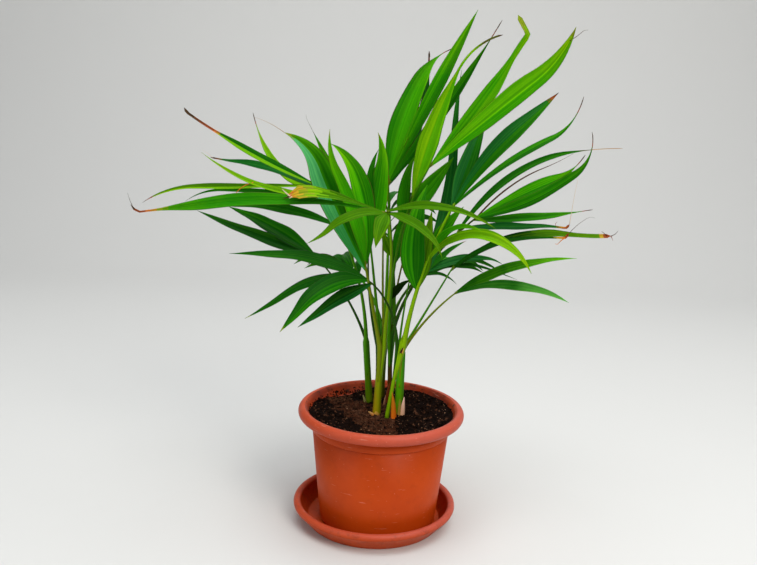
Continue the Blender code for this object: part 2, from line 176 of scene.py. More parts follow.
def moulded_plastic_group():
    """Satin moulded plastic: cloudy colour, a painted sky highlight on the lip that is strongest on the painted lit
    side, level scratches, specks, a fine grain.
    """
    group, given, result = node_group("moulded_plastic", [
        ("Colour", "NodeSocketColor", (0.5, 0.1, 0.03, 1)), ("Clouds", "NodeSocketColor", (0.5, 0.1, 0.03, 1)),
        ("Painted Highlight", "NodeSocketColor", (0.6, 0.15, 0.08, 1)), ("Painted Highlight From", "NodeSocketFloat", 0.1),
        ("Painted Highlight To", "NodeSocketFloat", 0.11), ("Scuff", "NodeSocketColor", (0.7, 0.4, 0.3, 1)),
        ("Dirt", "NodeSocketColor", (0.05, 0.02, 0.01, 1)), ("Dirt Amount", "NodeSocketFloat", 0.1)],
        [("Colour", "NodeSocketColor"), ("Roughness", "NodeSocketFloat"), ("Normal", "NodeSocketVector")])
    place = group.nodes.new("ShaderNodeTexCoord").outputs["Object"]
    clouds = ramp(group, grain(group, place, 22), 0.35, 0.68)
    base = blend_colour(group, clouds, given.outputs["Colour"], given.outputs["Clouds"])
    # The lip's pale pink is a painted highlight for the sky's reflection on the rim, and it fades towards the painted
    # shaded side.
    lip = ramp(group, part_of(group, place, "Z"), given.outputs["Painted Highlight From"], given.outputs["Painted Highlight To"])
    sunny = ramp(group, part_of(group, place, "X"), SHADED_SIDE, SUNNY_SIDE, 0.35, 1.0)
    lip = maths(group, "MULTIPLY", lip, sunny)
    base = blend_colour(group, lip, base, given.outputs["Painted Highlight"])
    level = stretched(group, place, (1.0, 1.0, 14.0))
    scratch = ramp(group, grain(group, level, 60, 2), 0.70, 0.74)
    speck = ramp(group, grain(group, place, 420, 1), 0.75, 0.79)
    marks = maths(group, "MULTIPLY", maths(group, "MAXIMUM", scratch, speck), 0.30)
    worn = blend_colour(group, marks, base, given.outputs["Scuff"])
    dust = maths(group, "MULTIPLY", ramp(group, grain(group, place, 130, 6, 0.7), 0.52, 0.72),
                 given.outputs["Dirt Amount"])
    group.links.new(blend_colour(group, dust, worn, given.outputs["Dirt"]), result.inputs["Colour"])
    group.links.new(ramp(group, grain(group, place, 90), 0.3, 0.7, 0.38, 0.5), result.inputs["Roughness"])
    group.links.new(bumped(group, grain(group, place, 700, 3), 0.12, 0.0003), result.inputs["Normal"])
    return group


MOULDED_PLASTIC = moulded_plastic_group()


def principled(name, group, values, specular=0.5, coat=0.0):
    """A Principled material whose colour, roughness and normal come from one shared group."""
    material = bpy.data.materials.new(name)
    material.use_nodes = True
    tree = material.node_tree
    shader = tree.nodes["Principled BSDF"]
    shader.inputs["Specular IOR Level"].default_value = specular
    shader.inputs["Coat Weight"].default_value = coat
    effect = tree.nodes.new("ShaderNodeGroup")
    effect.node_tree = group
    for label, value in values.items():
        effect.inputs[label].default_value = value
    for label, socket in (("Colour", "Base Color"), ("Roughness", "Roughness"), ("Normal", "Normal")):
        if label in effect.outputs:
            tree.links.new(effect.outputs[label], shader.inputs[socket])
    return material


TERRACOTTA = (0.50, 0.056, 0.003)
TERRACOTTA_CLOUDS = (0.45, 0.046, 0.002)
# A pale pink painted highlight for the rim, standing in for the sky's reflection.
PAINTED_HIGHLIGHT_TERRACOTTA = (0.47, 0.080, 0.046)
SCUFF = (0.75, 0.36, 0.26)
SOIL_DIRT = (0.03, 0.012, 0.006)


def terracotta_plastic(name, highlight_from, highlight_to, dirt):
    return principled(name, MOULDED_PLASTIC, {
        "Colour": colour(TERRACOTTA), "Clouds": colour(TERRACOTTA_CLOUDS), "Scuff": colour(SCUFF),
        "Painted Highlight": colour(PAINTED_HIGHLIGHT_TERRACOTTA), "Painted Highlight From": highlight_from,
        "Painted Highlight To": highlight_to, "Dirt": colour(SOIL_DIRT), "Dirt Amount": dirt}, 0.15)


# The saucer's lip carries the painted highlight.
saucer_plastic = terracotta_plastic("saucer_plastic", 15 * MM, 19 * MM, 0.45)

ROUND_SIDES = 160
SAUCER_FOOT_RADIUS = 66.5 * MM
SAUCER_LIP_RADIUS = 76.0 * MM
SAUCER_LIP_HEIGHT = 16.8 * MM
SAUCER_LIP_ROLL = 3.5 * MM
SAUCER_WALL = 2.2 * MM
SAUCER_FOOT_ROUNDING = 1.2 * MM


def saucer_profile():
    """Foot, slanting wall, rolled lip, inner wall and a flat floor."""
    foot = SAUCER_FOOT_RADIUS - SAUCER_FOOT_ROUNDING
    points = [(0, 0)]
    points += arc((foot, SAUCER_FOOT_ROUNDING), (SAUCER_FOOT_ROUNDING, SAUCER_FOOT_ROUNDING), -90, -20, 4)
    points += arc((SAUCER_LIP_RADIUS, SAUCER_LIP_HEIGHT), (SAUCER_LIP_ROLL, SAUCER_LIP_ROLL), -60, 215, 24)
    inside = SAUCER_FOOT_RADIUS - 1.0 * MM
    points += arc((inside - 1.5 * MM, SAUCER_WALL + 1.5 * MM), (1.5 * MM, 1.5 * MM), 0, -90, 5)
    points += [(0, SAUCER_WALL)]
    return points


saucer = turned("saucer_dish", saucer_profile(), 0.0, ROUND_SIDES, saucer_plastic)
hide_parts("saucer")


# The pot is moulded in the same plastic: a tapering wall with a round foot, a collar that stands
# a millimetre proud under the rim, and a fat rim rolled over outwards that is hollow below.
POT_CENTRE_X = 3.5 * MM
CLEARANCE = 0.3 * MM
POT_FOOT_RADIUS = 57.2 * MM
POT_FOOT_ROUNDING = 3.0 * MM
POT_BODY_RADIUS = 66.0 * MM
POT_COLLAR_RADIUS = 66.9 * MM
POT_COLLAR_BOTTOM = 94.5 * MM
POT_COLLAR_TOP = 105.6 * MM
POT_RIM_RADIUS = 75.3 * MM
POT_RIM_HEIGHT = 111.0 * MM
POT_RIM_HALF_WIDTH = 4.8 * MM
POT_RIM_HALF_HEIGHT = 5.3 * MM
POT_GROOVE = 1.0 * MM
POT_WALL = 1.8 * MM
POT_THROAT_DEPTH = 8.0 * MM
POT_BASE = SAUCER_WALL + CLEARANCE
# A darker copy of the terracotta: painted shade for the pot's inner wall.
PAINTED_SHADE_TERRACOTTA = (0.17, 0.022, 0.010)


def pot_inner_radius(height):
    """The radius of the pot's inner wall below its throat."""
    share = height / POT_COLLAR_TOP
    return POT_FOOT_RADIUS + (POT_BODY_RADIUS - POT_FOOT_RADIUS) * share - POT_WALL


def pot_profile():
    foot = (POT_FOOT_RADIUS - POT_FOOT_ROUNDING, POT_BASE + POT_FOOT_ROUNDING)
    step = (POT_COLLAR_RADIUS - 0.5 * MM, POT_COLLAR_BOTTOM + 0.5 * MM)
    throat = POT_RIM_HEIGHT - POT_THROAT_DEPTH
    points = [(0, POT_BASE)]
    points += arc(foot, (POT_FOOT_ROUNDING, POT_FOOT_ROUNDING), -90, 0, 8)
    groove = POT_BODY_RADIUS - POT_GROOVE
    points += [(POT_BODY_RADIUS, POT_COLLAR_BOTTOM - 1.6 * MM), (groove, POT_COLLAR_BOTTOM - 1.1 * MM),
               (groove, POT_COLLAR_BOTTOM)]
    points += arc(step, (0.5 * MM, 0.5 * MM), -90, 0, 4)
    points += [(POT_COLLAR_RADIUS, POT_COLLAR_TOP - 1.8 * MM), (groove, POT_COLLAR_TOP - 1.2 * MM),
               (groove, POT_COLLAR_TOP + 1.0 * MM)]
    points += arc((POT_RIM_RADIUS, POT_RIM_HEIGHT), (POT_RIM_HALF_WIDTH, POT_RIM_HALF_HEIGHT), -110, 170, 28)
    points += [(pot_inner_radius(throat), throat)]
    points += [(pot_inner_radius(POT_BASE + POT_WALL), POT_BASE + POT_WALL), (0, POT_BASE + POT_WALL)]
    return points


# The pot's rim, from 104 mm up, carries the painted highlight.
pot_plastic = terracotta_plastic("pot_plastic", 104.0 * MM, 106.5 * MM, 0.12)
# Faces turned inward above the collar take the darker terracotta, painted shade inside the rim, under heavy soil dirt.
shaded_soiled_plastic = terracotta_plastic("shaded_soiled_plastic", 130.0 * MM, 140.0 * MM, 1.6)
shaded_soiled_plastic.node_tree.nodes["Group"].inputs["Colour"].default_value = colour(PAINTED_SHADE_TERRACOTTA)
pot = turned("pot_shell", pot_profile(), POT_CENTRE_X, ROUND_SIDES, pot_plastic)
pot.data.materials.append(shaded_soiled_plastic)
for face in pot.data.polygons:
    out = Vector((face.center.x - POT_CENTRE_X, face.center.y, 0))
    if face.center.z > POT_COLLAR_BOTTOM and face.normal.dot(out) < -0.3 * out.length:
        face.material_index = 1
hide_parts("pot")


# The soil is damp, crumbly potting mix, heaped a little round the stems by watering and sunk at the
# wall on the far left, the right and the back, where it is nearly black.
SOIL_TOP = 110.4 * MM
SOIL_RINGS = 64
SOIL_SECTORS = 200
SOIL_DEPTH = 14.0 * MM
SOIL_HOLLOWS = [(125, 44, 0.62, 5.2), (172, 22, 0.50, 1.5)]


def hollow_share(angle, along):
    """How deep the sunk places lie at an angle and a share of the radius, in millimetres."""
    depth = 0.0
    for middle, half_width, from_share, deep in SOIL_HOLLOWS:
        aside = abs((angle - middle + 180) % 360 - 180) / half_width
        inward = max(0.0, (along - from_share) / (1 - from_share))
        if aside < 1:
            depth += deep * (0.5 + 0.5 * math.cos(math.pi * aside)) * min(1.0, 1.6 * inward)
    return depth


def soil_height(x, y):
    """The soil's surface: heaped in the middle, sunk in places, crumbly all over."""
    radius = math.hypot(x - POT_CENTRE_X, y)
    along = radius / (POT_RIM_RADIUS - POT_RIM_HALF_WIDTH)
    angle = math.degrees(math.atan2(y, x - POT_CENTRE_X))
    lumps = noise.fractal(Vector((x, y, 0.3)) * 55, 0.9, 2.1, 3) * 0.9
    crumbs = noise.fractal(Vector((x, y, 1.7)) * 420, 0.7, 2.3, 4) * 0.8
    return SOIL_TOP - (hollow_share(angle, along) - 0.9 * along ** 3 - lumps - crumbs + 0.4) * MM


def soil_edge(height):
    """The radius at which the pot's inner wall stands at a height near the rim."""
    throat = POT_RIM_HEIGHT - POT_THROAT_DEPTH
    slope = (POT_RIM_RADIUS - POT_RIM_HALF_WIDTH - pot_inner_radius(throat)) / POT_THROAT_DEPTH
    return pot_inner_radius(throat) + slope * max(0.0, height - throat) - CLEARANCE / 2


def potting_mix_group():
    """Damp potting mix: nearly black where it is wet, brown where it has dried, with a fine grain."""
    group, given, result = node_group("potting_mix", [
        ("Wet", "NodeSocketColor", (0.01, 0.005, 0.003, 1)), ("Dry", "NodeSocketColor", (0.05, 0.03, 0.02, 1))],
        [("Colour", "NodeSocketColor"), ("Normal", "NodeSocketVector")])
    place = group.nodes.new("ShaderNodeTexCoord").outputs["Object"]
    lumps = grain(group, place, 260, 6, 0.7)
    mix = ramp(group, lumps, 0.40, 0.66)
    group.links.new(blend_colour(group, mix, given.outputs["Wet"], given.outputs["Dry"]), result.inputs["Colour"])
    group.links.new(bumped(group, lumps, 0.8, 0.0012), result.inputs["Normal"])
    return group


POTTING_MIX = potting_mix_group()


def soil_material(name, wet, dry, roughness):
    material = principled(name, POTTING_MIX, {"Wet": colour(wet), "Dry": colour(dry)}, 0.03)
    material.node_tree.nodes["Principled BSDF"].inputs["Roughness"].default_value = roughness
    return material


soil_brown = soil_material("soil_brown", (0.010, 0.003, 0.0015), (0.072, 0.022, 0.009), 0.9)
soil_dark = soil_material("soil_dark", (0.0015, 0.0007, 0.0005), (0.012, 0.0045, 0.0028), 0.9)


def is_dark_soil(x, y):
    """Nearly black soil lies at the right of the stems, in the sunk places and at the back."""
    centre_x = x - POT_CENTRE_X
    ragged = noise.noise(Vector((x, y, 5.0)) * 90) * 9 * MM
    right = centre_x + ragged > 14 * MM
    back = y + 0.25 * centre_x + ragged > 22 * MM and centre_x > -30 * MM
    far_left = centre_x + 0.55 * y + ragged < -40 * MM
    return right or back or far_left


def make_soil_bed():
    """The bed: a crumbly top on a plain body that ends inside the pot."""
    verts = [(POT_CENTRE_X, 0, soil_height(POT_CENTRE_X, 0))]
    faces = []
    slots = []
    for ring in range(1, SOIL_RINGS + 1):
        for sector in range(SOIL_SECTORS):
            angle = math.tau * sector / SOIL_SECTORS
            share = ring / SOIL_RINGS
            out_x, out_y = math.cos(angle), math.sin(angle)
            reach = soil_edge(SOIL_TOP)
            for _ in range(2):
                height = soil_height(POT_CENTRE_X + out_x * reach, out_y * reach)
                reach = soil_edge(height)
            x, y = POT_CENTRE_X + out_x * reach * share, out_y * reach * share
            verts.append((x, y, soil_height(x, y)))
    bottom = len(verts)
    floor = SOIL_TOP - SOIL_DEPTH
    for sector in range(SOIL_SECTORS):
        angle = math.tau * sector / SOIL_SECTORS
        reach = pot_inner_radius(floor) - 2 * CLEARANCE
        verts.append((POT_CENTRE_X + math.cos(angle) * reach, math.sin(angle) * reach, floor))
    for sector in range(SOIL_SECTORS):
        beside = (sector + 1) % SOIL_SECTORS
        faces.append((0, 1 + sector, 1 + beside))
        for ring in range(SOIL_RINGS - 1):
            low = 1 + ring * SOIL_SECTORS
            high = low + SOIL_SECTORS
            faces.append((low + sector, high + sector, high + beside, low + beside))
        outer = 1 + (SOIL_RINGS - 1) * SOIL_SECTORS
        faces.append((outer + sector, bottom + sector, bottom + beside, outer + beside))
    faces.append(tuple(bottom + sector for sector in reversed(range(SOIL_SECTORS))))
    for face in faces:
        x, y, _ = verts[face[0]]
        slots.append(1 if is_dark_soil(x, y) else 0)
    return new_mesh("soil_bed", verts, faces, [soil_brown, soil_dark], slots)


soil_bed = make_soil_bed()
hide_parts("soil")

CRUMB_KINDS = {
    "crumbs_brown": (1000, 0.5, 1.5, soil_material("crumb_brown", (0.02, 0.008, 0.004), (0.11, 0.045, 0.024), 0.9)),
    "crumbs_black": (900, 0.5, 1.7, soil_material("crumb_black", (0.002, 0.001, 0.0008), (0.016, 0.007, 0.004), 0.9)),
    "crumbs_tan": (240, 0.25, 0.7, soil_material("crumb_tan", (0.14, 0.06, 0.03), (0.40, 0.24, 0.14), 0.9)),
}


GOLDEN = (1 + math.sqrt(5)) / 2
BALL_CORNERS = [corner for a in (-1, 1) for b in (-GOLDEN, GOLDEN)
                for corner in ((0, a, b), (a, b, 0), (b, 0, a))]


def ball_faces():
    """The 20 triangles of a ball on twelve corners, all facing out: each side is two units long."""
    corners = [Vector(corner) for corner in BALL_CORNERS]
    faces = []
    for i, a in enumerate(corners):
        for j, b in enumerate(corners):
            for k, c in enumerate(corners):
                near = max((a - b).length, (b - c).length, (c - a).length) < 2.1
                if i < min(j, k) and j != k and near and (b - a).cross(c - a).dot(a + b + c) > 0:
                    faces.append((i, j, k))
    return faces


BALL_FACES = ball_faces()


def add_crumb(verts, faces, centre, size, chance):
    """An irregular bit of bark or peat: a small ball of 20 faces pushed out of shape."""
    start = len(verts)
    turn = Quaternion((chance.uniform(-1, 1), chance.uniform(-1, 1), 1), chance.uniform(0, math.tau))
    stretch = (chance.uniform(0.7, 1.7), chance.uniform(0.7, 1.2), chance.uniform(0.4, 0.8))
    for corner in BALL_CORNERS:
        push = chance.uniform(0.75, 1.2) * size / GOLDEN / 2
        point = Vector([a * b * push for a, b in zip(corner, stretch)])
        point.rotate(turn)
        verts.append(tuple(centre + point))
    faces += [tuple(start + n for n in face) for face in BALL_FACES]


def scatter_crumbs(name, count, smallest, largest, material, wanted_dark):
    """Crumbs strewn on the bed by a seeded rule, black ones mostly where the soil is nearly black."""
    chance = random.Random(name)
    verts = []
    faces = []
    while count > 0:
        angle = chance.uniform(0, math.tau)
        reach = soil_edge(SOIL_TOP - 3 * MM) * math.sqrt(chance.random()) - 0.5 * MM
        x, y = POT_CENTRE_X + math.cos(angle) * reach, math.sin(angle) * reach
        if wanted_dark is not None and is_dark_soil(x, y) != wanted_dark and chance.random() < 0.8:
            continue
        size = smallest + (largest - smallest) * chance.random() ** 2
        add_crumb(verts, faces, Vector((x, y, soil_height(x, y) + 0.15 * size * MM)), size * MM * 2, chance)
        count -= 1
    piece = new_mesh(name, verts, faces, [material], smooth=False)


def stick_crumbs():
    """Crumbs left on the inner wall where the soil has sunk, at the back and the left."""
    chance = random.Random("crumbs_stuck")
    verts = []
    faces = []
    for _ in range(STUCK_CRUMBS):
        angle = math.radians(chance.uniform(70, 190))
        height = SOIL_TOP - 5.0 * MM + 5.5 * MM * chance.random() ** 1.4
        reach = soil_edge(height) + 0.1 * MM
        size = chance.uniform(0.5, 1.5)
        add_crumb(verts, faces, Vector((POT_CENTRE_X + math.cos(angle) * reach, math.sin(angle) * reach, height)),
                  size * MM * 1.6, chance)
    piece = new_mesh("crumbs_stuck", verts, faces, [CRUMB_KINDS["crumbs_black"][3]], smooth=False)


STUCK_CRUMBS = 420
stick_crumbs()
for crumb_name, (how_many, smallest, largest, crumb_material) in CRUMB_KINDS.items():
    darkness = {"crumbs_brown": False, "crumbs_black": True}.get(crumb_name)
    scatter_crumbs(crumb_name, how_many, smallest, largest, crumb_material, darkness)


# Each stem is a tube of green leaf sheaths rolled round each other, firm and waxy, with fine lines
# along it. It flares where it enters the soil and narrows at its top, where its stalks part.
Stem = namedtuple("Stem", "foot heading lean height foot_radius waist_radius skin")
STEMS = {
    "left": Stem((-8.5, 26), 170, 5, 61, 3.6, 3.2, "olive"),
    "middle": Stem((-1, -8), 65, 4, 66, 3.9, 3.3, "golden"),
    "back": Stem((12, 33), 247, 5, 69, 2.6, 2.2, "dark"),
    "front": Stem((9, -16), 355, 8, 70, 2.1, 1.8, "bright"),
    "right": Stem((20.5, -4), 88, 3, 60, 3.2, 3.9, "green"),
    "rear": Stem((3, 42), 307, 2, 71, 3.6, 3.2, "olive"),
}
STEM_SIDES = 24
STEM_RINGS = 30
STEM_FLARE = 0.5
STEM_BURIED = 2.0 * MM
STEM_CLOSING = [(3, 0.80), (6, 0.58), (9, 0.34), (12, 0.10)]
CURL_START = 0.7


def direction(heading, lift):
    """The unit vector with this heading and lift, in degrees."""
    turn, rise = math.radians(heading), math.radians(lift)
    return Vector((math.cos(rise) * math.cos(turn), math.cos(rise) * math.sin(turn), math.sin(rise)))


def arching_path(start, heading, turn, lift, droop, curl, length, steps, hook_from=1.0, hook=0.0):
    """Points along a stalk or a midline that bends evenly down, curls at its end and may end in a hook."""
    points = [start.copy()]
    for i in range(steps):
        along = (i + 0.5) / steps
        end_bend = curl * max(0.0, (along - CURL_START) / (1 - CURL_START))
        if along > hook_from:
            end_bend += hook * min(1.0, (along - hook_from) / 0.03)
        step = direction(heading + turn * along, lift - droop * along + end_bend)
        points.append(points[-1] + step * (length / steps))
    return points


def tangents(points):
    """The direction of the path at each of its points."""
    ahead = points[1:] + points[-1:]
    behind = points[:1] + points[:-1]
    return [(b - a).normalized() for a, b in zip(behind, ahead)]


LIT_SIDE = 1.65
DARK_SIDE = 0.60


def palm_skin_group():
    """Waxy stem skin: one colour at the foot, another above, a blush at one side, fine lines."""
    group, given, result = node_group("palm_skin", [
        ("Foot", "NodeSocketColor", (0.1, 0.2, 0.01, 1)), ("Top", "NodeSocketColor", (0.1, 0.2, 0.01, 1)),
        ("Blush", "NodeSocketColor", (0.3, 0.1, 0.01, 1)), ("Blush Amount", "NodeSocketFloat", 0.3),
        ("Blush From", "NodeSocketFloat", 0.0), ("Blush To", "NodeSocketFloat", 0.01),
        ("Foot Height", "NodeSocketFloat", 0.11), ("Top Height", "NodeSocketFloat", 0.18)],
        [("Colour", "NodeSocketColor"), ("Roughness", "NodeSocketFloat"), ("Normal", "NodeSocketVector")])
    place = group.nodes.new("ShaderNodeTexCoord").outputs["Object"]
    height = part_of(group, place, "Z")
    rise = ramp(group, height, given.outputs["Foot Height"], given.outputs["Top Height"])
    body = blend_colour(group, rise, given.outputs["Foot"], given.outputs["Top"])
    drawn = stretched(group, place, (1.0, 1.0, 0.04))
    lines = grain(group, drawn, 900, 2)
    sideways = group.nodes.new("ShaderNodeSeparateXYZ")
    group.links.new(place, sideways.inputs["Vector"])
    beside = ramp(group, sideways.outputs["X"], given.outputs["Blush From"], given.outputs["Blush To"])
    low = maths(group, "SUBTRACT", 1.0, maths(group, "MULTIPLY", rise, 0.8))
    streaks = ramp(group, grain(group, drawn, 300, 2), 0.45, 0.65, 0.25, 1.0)
    amount = maths(group, "MULTIPLY", maths(group, "MULTIPLY", beside, streaks),
                   maths(group, "MULTIPLY", low, given.outputs["Blush Amount"]))
    blushed = blend_colour(group, amount, body, given.outputs["Blush"])
    turned_to = part_of(group, group.nodes.new("ShaderNodeTexCoord").outputs["Normal"], "X")
    rounded = group.nodes.new("ShaderNodeVectorMath")
    rounded.operation = "SCALE"
    group.links.new(blushed, rounded.inputs[0])
    group.links.new(ramp(group, turned_to, -0.8, 0.8, LIT_SIDE, DARK_SIDE), rounded.inputs["Scale"])
    group.links.new(rounded.outputs["Vector"], result.inputs["Colour"])
    group.links.new(ramp(group, lines, 0.3, 0.7, 0.34, 0.5), result.inputs["Roughness"])
    group.links.new(bumped(group, lines, 0.5, 0.0005), result.inputs["Normal"])
    return group


PALM_SKIN = palm_skin_group()
RED_BROWN = (0.30, 0.055, 0.008)
# For each skin: the colours at the foot and above, how much blush, and between which X it sets in
STEM_SKINS = {
    "olive": ((0.080, 0.140, 0.001), (0.045, 0.195, 0.001), 0.6, -8, -3),
    "golden": ((0.22, 0.20, 0.001), (0.100, 0.215, 0.001), 0.9, 1, -4),
    "dark": ((0.11, 0.020, 0.004), (0.006, 0.045, 0.002), 0.3, 12, 18),
    "bright": ((0.13, 0.25, 0.001), (0.17, 0.32, 0.001), 0.2, 16, 22),
    "green": ((0.085, 0.230, 0.001), (0.040, 0.260, 0.001), 0.3, 22, 28),
}


def skin_material(name, skin, low, high):
    foot, top, blush, blush_from, blush_to = skin
    return principled(name, PALM_SKIN, {
        "Foot": colour(foot), "Top": colour(top), "Blush": colour(RED_BROWN), "Blush Amount": blush,
        "Blush From": blush_from * MM, "Blush To": blush_to * MM,
        "Foot Height": low * MM, "Top Height": high * MM}, 0.05)


stem_skins = {name: skin_material("stem_skin_" + name, skin, 112, 165) for name, skin in STEM_SKINS.items()}


def stem_path(stem, steps):
    """The stem's midline, from the soil to its top."""
    foot = Vector((stem.foot[0] * MM, stem.foot[1] * MM, SOIL_TOP + CLEARANCE))
    length = stem.height * MM / math.cos(math.radians(stem.lean))
    return arching_path(foot, stem.heading, 0, 90 - stem.lean, 0, 0, length, steps)


def add_tube(verts, faces, points, radii, sides, first_axis=None, ridges=0.0):
    """Adds a closed tapering tube along a path, with low ridges along it if asked for."""
    start = len(verts)
    side = Vector((1, 0, 0))
    for index, (point, along, radius) in enumerate(zip(points, tangents(points), radii)):
        axis = first_axis if index == 0 and first_axis else along
        side = (side - axis * side.dot(axis)).normalized()
        other = axis.cross(side)
        for i in range(sides):
            angle = math.tau * i / sides
            reach = radius * (1 + ridges * math.cos(6 * angle + 1.0))
            verts.append(tuple(point + (side * math.cos(angle) + other * math.sin(angle)) * reach))
    for ring in range(len(points) - 1):
        low = start + ring * sides
        high = low + sides
        faces += [(low + i, low + (i + 1) % sides, high + (i + 1) % sides, high + i) for i in range(sides)]
    faces.append(tuple(start + i for i in reversed(range(sides))))
    last = start + (len(points) - 1) * sides
    faces.append(tuple(last + i for i in range(sides)))


for stem_name, stem in STEMS.items():
    points = stem_path(stem, STEM_RINGS)
    radii = [(stem.waist_radius + (stem.foot_radius - stem.waist_radius) *
              max(0.0, 1 - i / STEM_RINGS / STEM_FLARE) ** 2) * MM for i in range(STEM_RINGS + 1)]
    along = (points[-1] - points[-2]).normalized()
    for rise, share in STEM_CLOSING:
        points.append(points[STEM_RINGS] + along * rise * MM)
        radii.append(radii[STEM_RINGS] * share)
    points[0] = points[0] - Vector((0, 0, STEM_BURIED))
    verts = []
    faces = []
    add_tube(verts, faces, points, radii, STEM_SIDES, Vector((0, 0, 1)), 0.04)
    piece = new_mesh("stem_" + stem_name + "_tube", verts, faces, [stem_skins[stem.skin]])
    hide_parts("stem_" + stem_name)


# Dry scales are the papery last of older leaves, at the stems' feet: an orange one in front, a pale
# one at the right, and small husks and a torn dark mouth where a stalk leaves its sheath.
Scale = namedtuple("Scale", "place heading lean height width facing colours")
SCALES = {
    "sheath_orange": Scale((15.5, -18, 0), 180, 1, 27, 6.6, 270, ((0.60, 0.12, 0.006), (0.40, 0.16, 0.008))),
    "sheath_pale": Scale((23.6, -8.8, 0), 60, 5, 18, 6.0, 270, ((0.62, 0.34, 0.20), (0.76, 0.48, 0.38))),
    "husk_middle": Scale((-2.4, -11.5, 0), 195, 42, 7.0, 4.4, 270, ((0.50, 0.16, 0.02), (0.70, 0.46, 0.18))),
    "husk_foot": Scale((-0.6, -12.6, 0), 180, 4, 4.5, 7.4, 270, ((0.24, 0.10, 0.02), (0.55, 0.30, 0.05))),
    "husk_left": Scale((-12.0, 23.4, 0), 190, 14, 8, 3.6, 260, ((0.20, 0.20, 0.05), (0.38, 0.36, 0.14))),
    "husk_back": Scale((6.6, 18.0, 0), 60, 5, 10, 3.0, 270, ((0.20, 0.08, 0.04), (0.30, 0.15, 0.08))),
    "husk_brown": Scale((9.2, 24.0, 0), 0, 2, 22, 5.6, 270, ((0.10, 0.018, 0.005), (0.16, 0.035, 0.008))),
    "husk_right": Scale((20.8, -8.6, 0), 80, 3, 20, 4.2, 270, ((0.34, 0.20, 0.04), (0.12, 0.20, 0.01))),
    "torn_mouth": Scale((19.2, -21.2, 68), 10, 20, 4, 2.2, 270, ((0.020, 0.012, 0.004), (0.012, 0.010, 0.004))),
    "torn_lip": Scale((21.0, -20.2, 67.5), 20, 12, 3.4, 1.8, 270, ((0.45, 0.25, 0.04), (0.50, 0.36, 0.06))),
}
SCALE_STATIONS = 16
SCALE_ACROSS = 8
SCALE_THICKNESS = 0.5 * MM
SCALE_BEND = 1.1


def make_scale(name, scale):
    """A pointed papery scale that bows round the stem behind it and lies a little open at its tip."""
    foot = Vector(scale.place) * MM
    foot.z += SOIL_TOP - STEM_BURIED
    points = arching_path(foot, scale.heading, 0, 90 - scale.lean, 8, 0,
                          scale.height * MM + STEM_BURIED, SCALE_STATIONS)
    facing = direction(scale.facing, 0)
    verts = []
    for index, (point, along) in enumerate(zip(points, tangents(points))):
        share = index / SCALE_STATIONS
        out = (facing - along * facing.dot(along)).normalized()
        across = along.cross(out)
        half = scale.width * MM / 2 * (1 - share ** 2.2) + 0.1 * MM
        for side in (1, -1):
            for i in range(SCALE_ACROSS + 1):
                u = (2 * i / SCALE_ACROSS - 1) * side
                aside = half * math.sin(SCALE_BEND * u) / SCALE_BEND
                bow = half * (math.cos(SCALE_BEND * u) - 1) * 0.9 - side * SCALE_THICKNESS / 2
                verts.append(tuple(point + across * aside + out * bow))
    ring = 2 * (SCALE_ACROSS + 1)
    faces = [(low + i, low + (i + 1) % ring, low + ring + (i + 1) % ring, low + ring + i)
             for low in range(0, SCALE_STATIONS * ring, ring) for i in range(ring)]
    faces += [tuple(reversed(range(ring))), tuple(SCALE_STATIONS * ring + i for i in range(ring))]
    low = scale.place[2] + 110
    paper = skin_material(name + "_paper", (*scale.colours, 0.15, -50, -40), low, low + scale.height)
    return new_mesh(name + "_scale", verts, faces, [paper])


for scale_name, scale in SCALES.items():
    piece = make_scale(scale_name, scale)
    if scale_name.startswith("sheath"):
        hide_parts(scale_name)


# The fronds: each stalk leaves its stem in a sheath of its own and carries a few long leaflets.
# They are thin, folded along the midrib, pleated along the veins and pointed, some with dry ends.
Frond = namedtuple("Frond", "stem seat heading turn lift droop length girth opens skin leaflets")
Leaflet = namedtuple("Leaflet", "share heading lift droop curl length width roll tone ending shape", defaults=("even",))

# A tone of two greens, such as mid/grass, gives each half of a leaflet its own green: painted light on the lighter half
# and painted shade on the darker half of the fold.
CROWN = [
    (0.98, 30, 83, 34, -33, 148, 22, 0, "mid/grass", "whip"),
    (0.94, 60, 68, 21, 0, 100, 11, 40, "lime", "plain"),
    (0.94, 50, 40, -54, 0, 143, 11, 30, "blue", "brown_tip"),
    (0.96, 5, 66, 3, 0, 178, 13, 10, "grass/mid", "plain", "late"),
    (0.95, -15, 53, -8, 0, 181, 12, -10, "mid/forest", "whip"),
]
UP_RIGHT = [
    (0.77, 5, 80, 20, -45, 175, 19, 0, "lime/fresh", "long_thin", "early"),
    (0.61, 110, 74, -70, 0, 77, 12, 0, "mid", "plain"),
    (0.98, -20, 47.5, -19, -12, 158, 15, 10, "grass/fresh", "kink"),
    (0.97, -28, 41.5, 4, 34, 176, 21, 0, "fresh/grass", "yellow_tip", "late"),
    (0.69, -15, 53, 0, 0, 68, 17, 20, "mid", "plain"),
    (0.40, 30, 78, 7, 0, 75, 15, 0, "mid", "plain"),
    (0.20, -30, 66, 39, 0, 31, 8, 0, "black", "plain"),
]
RIGHT_BACK = [
    (0.78, 25, 57, 71, 14, 215, 7, 20, "forest", "thread"),
    (0.95, 20, 49, 41, 20, 117, 1.7, 0, "umber", "plain"),
    (0.94, -5, 33, 11, 40, 117, 13, 0, "grass/mid", "whip", "late"),
    (0.94, -20, 16, -34, 56, 144, 12, 0, "mid/forest", "whip"),
    (0.92, 10, 1, -9, 0, 119, 10, 0, "mid", "whip"),
    (0.85, -5, 4, 1, -10, 99, 9, 0, "blue", "orange_curl"),
]
